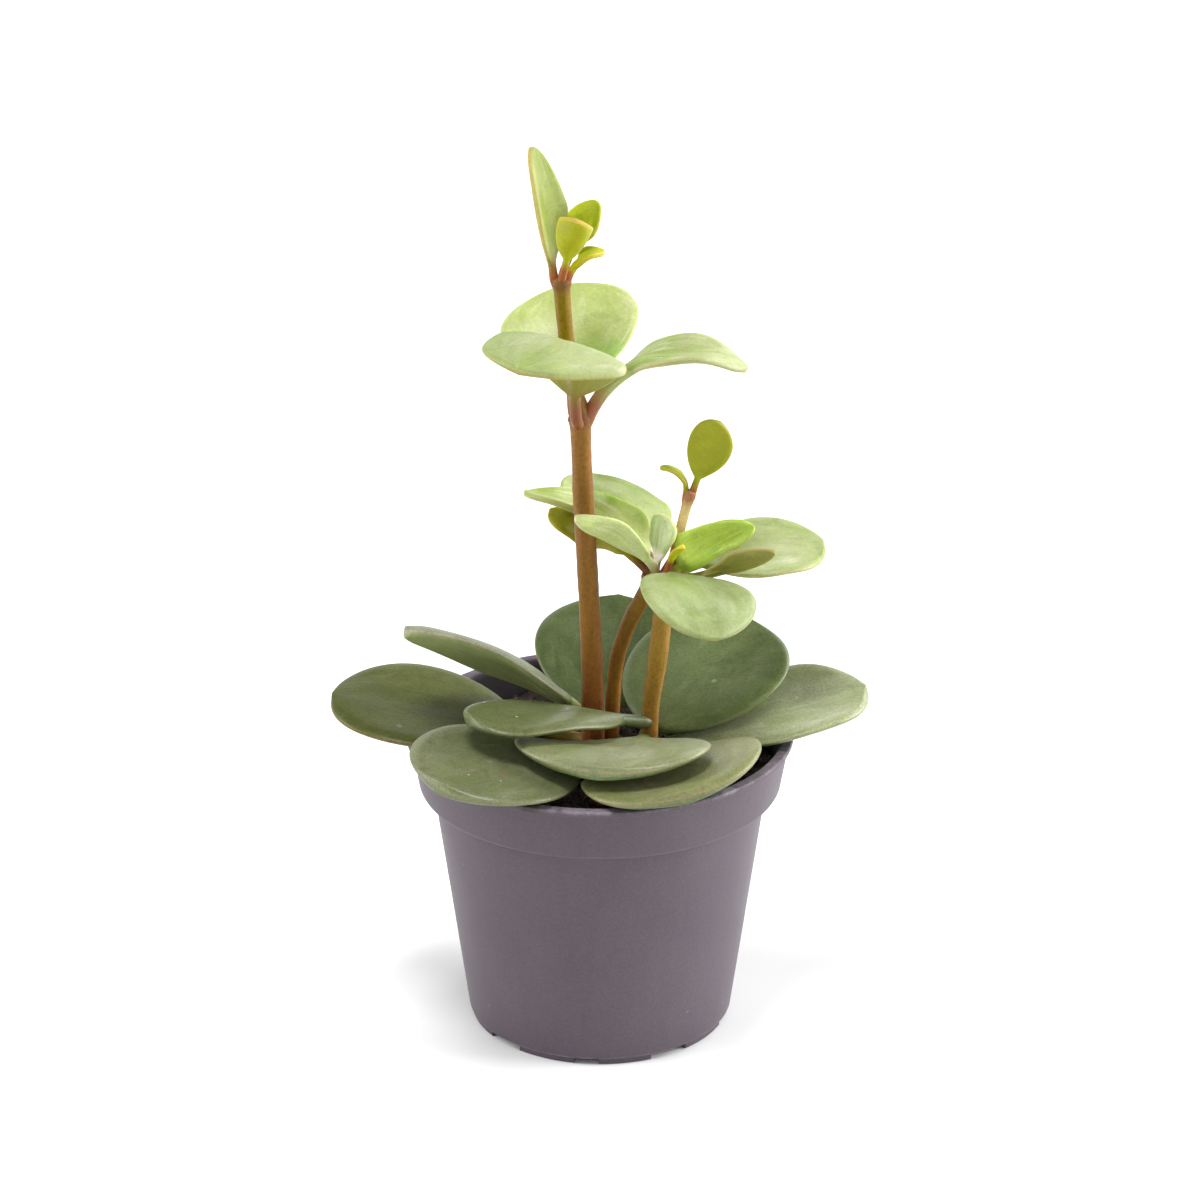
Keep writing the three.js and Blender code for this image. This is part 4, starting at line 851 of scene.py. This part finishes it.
# The pot's section: straight runs between the corners, with each corner rounded by a quadratic curve
# that starts and ends one fillet away from it. Long straight runs get points of their own.
def potProfile():
    corners = np.array(pot["corners"])
    points, longRun = [], 3
    for k, corner in enumerate(corners):
        here, fillet = corner[:2], corner[2]
        before = corners[k - 1, :2] if k else np.array([0, pot["floor"][0]])
        after = corners[k + 1, :2] if k < len(corners) - 1 else np.array([0, pot["floor"][1]])
        start = here + (before - here) * fillet / np.linalg.norm(before - here)
        end = here + (after - here) * fillet / np.linalg.norm(after - here)
        curve = quadratic(np.linspace(0, 1, 7)[:, None], start, here, end)
        if points and np.linalg.norm(start - points[-1][-1]) > longRun:
            u = (1 - np.cos(np.pi * np.linspace(0, 1, 20)[1:-1, None])) / 2
            points.append(points[-1][-1] * (1 - u) + start * u)
        points.append(curve)
    return np.concatenate(points)


# The wall: the section turned about Z, each point at radius * (sin, -cos) of its direction. Inside a
# notch whatever lies lower than the notch's top is lifted to it. The wall is a few hundredths of a
# millimetre out of round towards the rim.
def potMesh():
    profile = potProfile()[::-1]
    even = np.arange(pot["sides"]) * 360 / pot["sides"]
    cuts = [(direction + side * opening / 2 + step) % 360 for direction, opening in pot["notches"]
            for side in (-1, 1) for step in (-pot["notchSlope"], pot["notchSlope"])]
    turn = np.unique(np.round(np.concatenate([even, cuts]), 4))
    inside = np.zeros(len(turn), bool)
    for direction, opening in pot["notches"]:
        inside |= np.abs((turn - direction + 180) % 360 - 180) < opening / 2
    angle = np.radians(turn)[None]
    radius, height = profile[:, :1], profile[:, 1:]
    lifted = np.where(inside[None] & (height < pot["notchTop"]), pot["notchTop"], height + 0 * angle)
    amount, low, top = pot["unround"]
    lap = amount * np.sin(3 * angle + 1) * np.clip((height - low) / (top - low), 0, 1)
    rings = np.stack([(radius + lap) * np.sin(angle), -(radius + lap) * np.cos(angle), lifted], -1)
    slope = np.gradient(profile, axis=0)
    inward = (slope[:, 1:] > 0) & (radius > pot["innerFrom"])
    under, over = pot["floor"]
    first, last = np.array([0, 0, over]), np.array([0, 0, under])
    values = {"height": height + 0 * angle, "inner": np.where(inward, 1.0, 0.0) + 0 * angle}
    return skinMesh("potWall", rings, first, last, values)


# Pot paint: cloudy plastic with few specks, scuffs, lip marks that are partly a painted highlight, a painted
# highlight line over the foot and painted shade inside under the rim.
def potMaterial():
    material, tree, shader = newMaterial("pottedPlastic")
    place = objectPlace(tree)
    height = attribute(tree, "height")
    cloud = noise(tree, place, 60, 3, 0.6)
    grain = noise(tree, place, 2200, 3, 0.7)
    flow = noise(tree, stretched(tree, place, (1, 1, 0.05)), 500, 2)
    colour = blend(tree, ramp(tree, cloud, 0.35, 0.65, 0.0, 0.8), tint(pot["body"]), tint(pot["cloud"]))
    dots = speckMask(tree, 520.0, 0.16, 0.03)
    colour = blend(tree, times(tree, dots, 0.3), colour, tint(pot["worn"]))
    scuffs = ramp(tree, noise(tree, place, 700, 3, 0.7), 0.42, 0.66)
    lip = times(tree, ramp(tree, height, *pot["scuffed"]), scuffs)
    colour = blend(tree, times(tree, lip, 0.3), colour, tint(pot["worn"]))
    out = pot["markRadius"] * millimetre
    # Lip marks: scuffs, dust and earth; those on the crest are partly a painted highlight.
    for direction, high, radius, share, shade in pot["marks"]:
        angle = np.radians(direction)
        centre = (out * np.sin(angle), -out * np.cos(angle), high * millimetre)
        spot = markMask(tree, centre, radius * millimetre, pot["markRagged"])
        soiled = shade == "earth"
        lip = ramp(tree, height, *pot["soiled"]) if soiled else bell(tree, height, *pot["crest"])
        colour = blend(tree, times(tree, spot, lip, share), colour, tint(pot[shade]))
    # Painted highlight: a paler line along the step over the foot ring.
    uneven = ramp(tree, noise(tree, place, 300, 3), 0.4, 0.6, 0.2, 0.8)
    line = times(tree, bell(tree, height, *pot["footHighlight"]), uneven)
    colour = blend(tree, times(tree, line, 0.45), colour, tint(pot["worn"]))
    # Painted shade: the inside of the wall darkens to near black under the rim.
    damp = times(tree, attribute(tree, "inner"), ramp(tree, height, *pot["innerShadeSpan"]), 0.9)
    colour = blend(tree, damp, colour, tint(pot["damp"]))
    level = times(tree, around(tree, grain, 0.55), around(tree, flow, 0.12))
    wire(tree, shader, {"Base Color": darken(tree, colour, level),
                        "Normal": relief(tree, grain, 0.16, 0.00015),
                        "Roughness": ramp(tree, cloud, 0.3, 0.7, 0.5, 0.62), "IOR": 1.4,
                        "Sheen Weight": 0.1, "Sheen Roughness": 0.35})
    return material


addPiece("potWall", potMesh(), potMaterial(), "pot_plastic", "pot")
print("pot made")


# Soil

soil = dict(
    sides=200, rings=90, crumbs=1500, base="2a1c14", light="5a4030", straw="9a7c4a",
    # the plug's wall [radius, height] from its foot up, then the radii of the top's outer and inner ring
    outline=[[18.7, 2.4], [19.3, 3.3], [24.6, 38.7], [26.5, 40.3], [26.8, 42.2]],
    topRings=[26.7, 0.25],
    top=43.4,
    mound=[0.9, 11],      # height and radius of the mound at the stems
    sunken=[0.5, 22, 5],  # depth at the wall, the radius where the top starts to sink, and over what
    lumps=0.35,           # height of the broad lumps
    # smaller waves: how many, the broadest's radians per mm, the factor to the next, and its height
    waves=14, coarsest=0.9, finer=1.22, waveHeight=0.21,
    crumbReach=26.2,      # radius that the crumbs lie within
    crumbSize=[0.16, 0.91])


# Height of the soil over a place: a low mound at the stems, sunk at the wall, plus waves of several
# sizes in seeded directions, the finer the lower, all in mm.
def soilTop(x, y):
    radius = np.hypot(x, y)
    (rise, reach), (depth, start, over) = soil["mound"], soil["sunken"]
    mound = soil["top"] + rise * np.exp(-(radius / reach) ** 2)
    mound = mound - depth * np.clip((radius - start) / over, 0, 1)
    lumps = soil["lumps"] * np.sin(0.55 * x + 1.3) * np.cos(0.48 * y - 0.6)
    for k in range(soil["waves"]):
        angle, shift = np.random.default_rng(300 + k).uniform(0, roundTurn, 2)
        size = soil["coarsest"] * soil["finer"] ** k
        along = x * np.cos(angle) + y * np.sin(angle)
        lumps = lumps + soil["waveHeight"] / size ** 0.8 * np.sin(size * along + shift)
    return mound + lumps


# The plug: the wall's outline turned about Z, then rings that close in over the uneven top.
def soilMesh():
    turn = 2 * np.pi * np.arange(soil["sides"])[None] / soil["sides"]
    outline = np.array(soil["outline"])
    radius, height = outline[:, :1], outline[:, 1:]
    wall = np.stack([radius * np.sin(turn), -radius * np.cos(turn), height + 0 * turn], -1)
    radius = np.linspace(*soil["topRings"], soil["rings"])[:, None]
    x, y = radius * np.sin(turn), -radius * np.cos(turn)
    top = np.stack([x, y, soilTop(x, y)], -1)
    rings = np.concatenate([wall, top])
    crest = np.array([0, 0, float(soilTop(0.0, 0.0))])
    return skinMesh("soilPlug", rings[::-1], crest, np.array([0, 0, outline[0, 1]]), {})


# Crumbs: one small lump of 42 points and 80 faces, copied to seeded places on the soil, each with its
# own size, stretch and turn; all in one mesh.
def crumbMesh():
    seedling = bmesh.new()
    bmesh.ops.create_icosphere(seedling, subdivisions=2, radius=1)
    ball = np.array([v.co[:] for v in seedling.verts])
    faces = np.array([[v.index for v in f.verts] for f in seedling.faces])
    seedling.free()
    pull = np.random.default_rng(77)
    count = soil["crumbs"]
    radius = soil["crumbReach"] * np.sqrt(pull.uniform(0, 1, count))
    angle = pull.uniform(0, roundTurn, count)
    x, y = radius * np.cos(angle), radius * np.sin(angle)
    small, large = soil["crumbSize"]
    size = small + (large - small) * pull.uniform(0, 1, count) ** 4
    stretch = pull.uniform(0.5, 1.3, (count, 1, 3)) * np.array([1, 1, 0.75])
    lump = 1 + 0.18 * np.sin(ball @ np.array([5, 3, 4]) + pull.uniform(0, roundTurn, (count, 1)))
    points = ball[None] * lump[..., None] * stretch * size[:, None, None]
    spin, tip = pull.uniform(0, roundTurn, (2, count, 1))
    tip = tip * 0.2
    a, b, c = points[..., 0], points[..., 1], points[..., 2]
    a, b = a * np.cos(spin) - b * np.sin(spin), a * np.sin(spin) + b * np.cos(spin)
    b, c = b * np.cos(tip) - c * np.sin(tip), b * np.sin(tip) + c * np.cos(tip)
    height = soilTop(x, y)[:, None] + 0.15 * size[:, None]
    places = np.stack([a + x[:, None], b + y[:, None], c + height], -1).reshape(-1, 3)
    index = (faces[None] + np.arange(count)[:, None, None] * len(ball)).reshape(-1, 3)
    lot = np.repeat(pull.uniform(0, 1, count), len(ball))
    return newMesh("soilCrumbs", places, index.tolist(), {"lot": lot})


# Peat: mixed by noise in the plug, and by each crumb's own lot where it is loose, with a few straws.
def soilMaterial(name, loose):
    material, tree, shader = newMaterial(name)
    place = objectPlace(tree)
    coarse, fine = noise(tree, place, 700, 4, 0.65), noise(tree, place, 2600, 4, 0.7)
    share = ramp(tree, attribute(tree, "lot"), 0.55, 1.0) if loose else ramp(tree, coarse, 0.45, 0.75)
    colour = blend(tree, share, tint(soil["base"]), tint(soil["light"]))
    if loose:
        colour = blend(tree, ramp(tree, attribute(tree, "lot"), 0.975, 0.99), colour, tint(soil["straw"]))
    wire(tree, shader, {"Base Color": darken(tree, colour, around(tree, fine, 1.1)),
                        "Roughness": ramp(tree, fine, 0.3, 0.7, 0.62, 0.9),
                        "Normal": relief(tree, fine, 0.8, 0.0006)})
    return material


addPiece("soilPlug", soilMesh(), soilMaterial("peat", False), "soil_peat", "soil")
addPiece("soilCrumbs", crumbMesh(), soilMaterial("peatCrumbs", True), "soil_peat")
print("soil made")


# Stage

# Metres and degrees. The floor is rings of the given radii with floorSides points each; the lens is in
# mm, and the camera's tilt is measured from straight down.
stage = dict(
    floor=0.9, floorRings=[0.05, 0.3, 1.0, 3.0], floorSides=96, sky=0.13,
    lens=129, camera=(0.0, -0.6041, 0.3278), tilt=66.85,
    # lights: place, aim, width and height of the panel, watts
    lights={
        "overhead": [(-0.15, -0.3, 1.25), (0, 0, 0.05), (0.4, 0.4), 11.0],
        "backRight": [(0.75, 0.75, 0.8), (0, 0, 0.06), (0.7, 0.7), 9.0],
        "backPanel": [(-0.2, 1.6, 0.7), (0, 0, 0.08), (2.2, 0.9), 8.0],
        "leftPanel": [(-1.1, 0.0, 0.5), (0, 0, 0.05), (0.8, 0.9), 11.0],
        "rightPanel": [(1.1, 0.05, 0.42), (0, 0, 0.05), (0.8, 0.8), 19.0],
        "frontFill": [(0.1, -1.3, 0.75), (0, 0, 0.06), (1.2, 0.7), 4.0],
    })


# The floor: a flat disc at height 0, each point at radius * (cos, sin) of its direction.
def addFloor():
    sides = stage["floorSides"]
    j = np.arange(sides)
    turn = 2 * np.pi * j[None] / sides
    radius = np.array(stage["floorRings"])[:, None]
    ring = np.stack([radius * np.cos(turn), radius * np.sin(turn), 0 * radius + 0 * turn], -1).reshape(-1, 3)
    k = (j + 1) % sides
    low = np.arange(len(radius) - 1)[:, None] * sides
    quads = np.stack([low + j, low + sides + j, low + sides + k, low + k], -1).reshape(-1, 4)
    mesh = bpy.data.meshes.new("floor")
    mesh.from_pydata(ring, [], quads.tolist() + [j.tolist()])
    floor = addObject("floor", mesh)
    material, tree, shader = newMaterial("paleFloor")
    wire(tree, shader, {"Base Color": (stage["floor"],) * 3 + (1,), "Roughness": 0.9,
                        "Specular IOR Level": 0.1})
    mesh.materials.append(material)


# A light panel, turned so that its face looks at aim.
def addLight(name, place, aim, size, power):
    data = bpy.data.lights.new(name, "AREA")
    data.shape, data.size, data.size_y = "RECTANGLE", size[0], size[1]
    data.energy = power
    light = addObject(name, data)
    light.location = place
    along = np.array(aim) - np.array(place)
    sideways, turn = np.hypot(*along[:2]), np.arctan2(along[0], -along[1])
    light.rotation_euler = (np.arctan2(sideways, -along[2]), 0, turn + np.pi)


addFloor()
for name, (place, aim, size, power) in stage["lights"].items():
    addLight(name, place, aim, size, power)
world = bpy.data.worlds.new("studio")
world.use_nodes = True
world.node_tree.nodes["Background"].inputs[0].default_value = (1, 1, 1, 1)
world.node_tree.nodes["Background"].inputs[1].default_value = stage["sky"]
scene.world = world
scene.view_settings.view_transform = "Standard"

lens = bpy.data.cameras.new("front")
lens.lens, lens.sensor_width = stage["lens"], 36
lens.clip_start, lens.clip_end = 0.01, 20
camera = addObject("front", lens)
camera.location = stage["camera"]
camera.rotation_euler = (np.radians(stage["tilt"]), 0, 0)
scene.camera = camera
print("stage made")
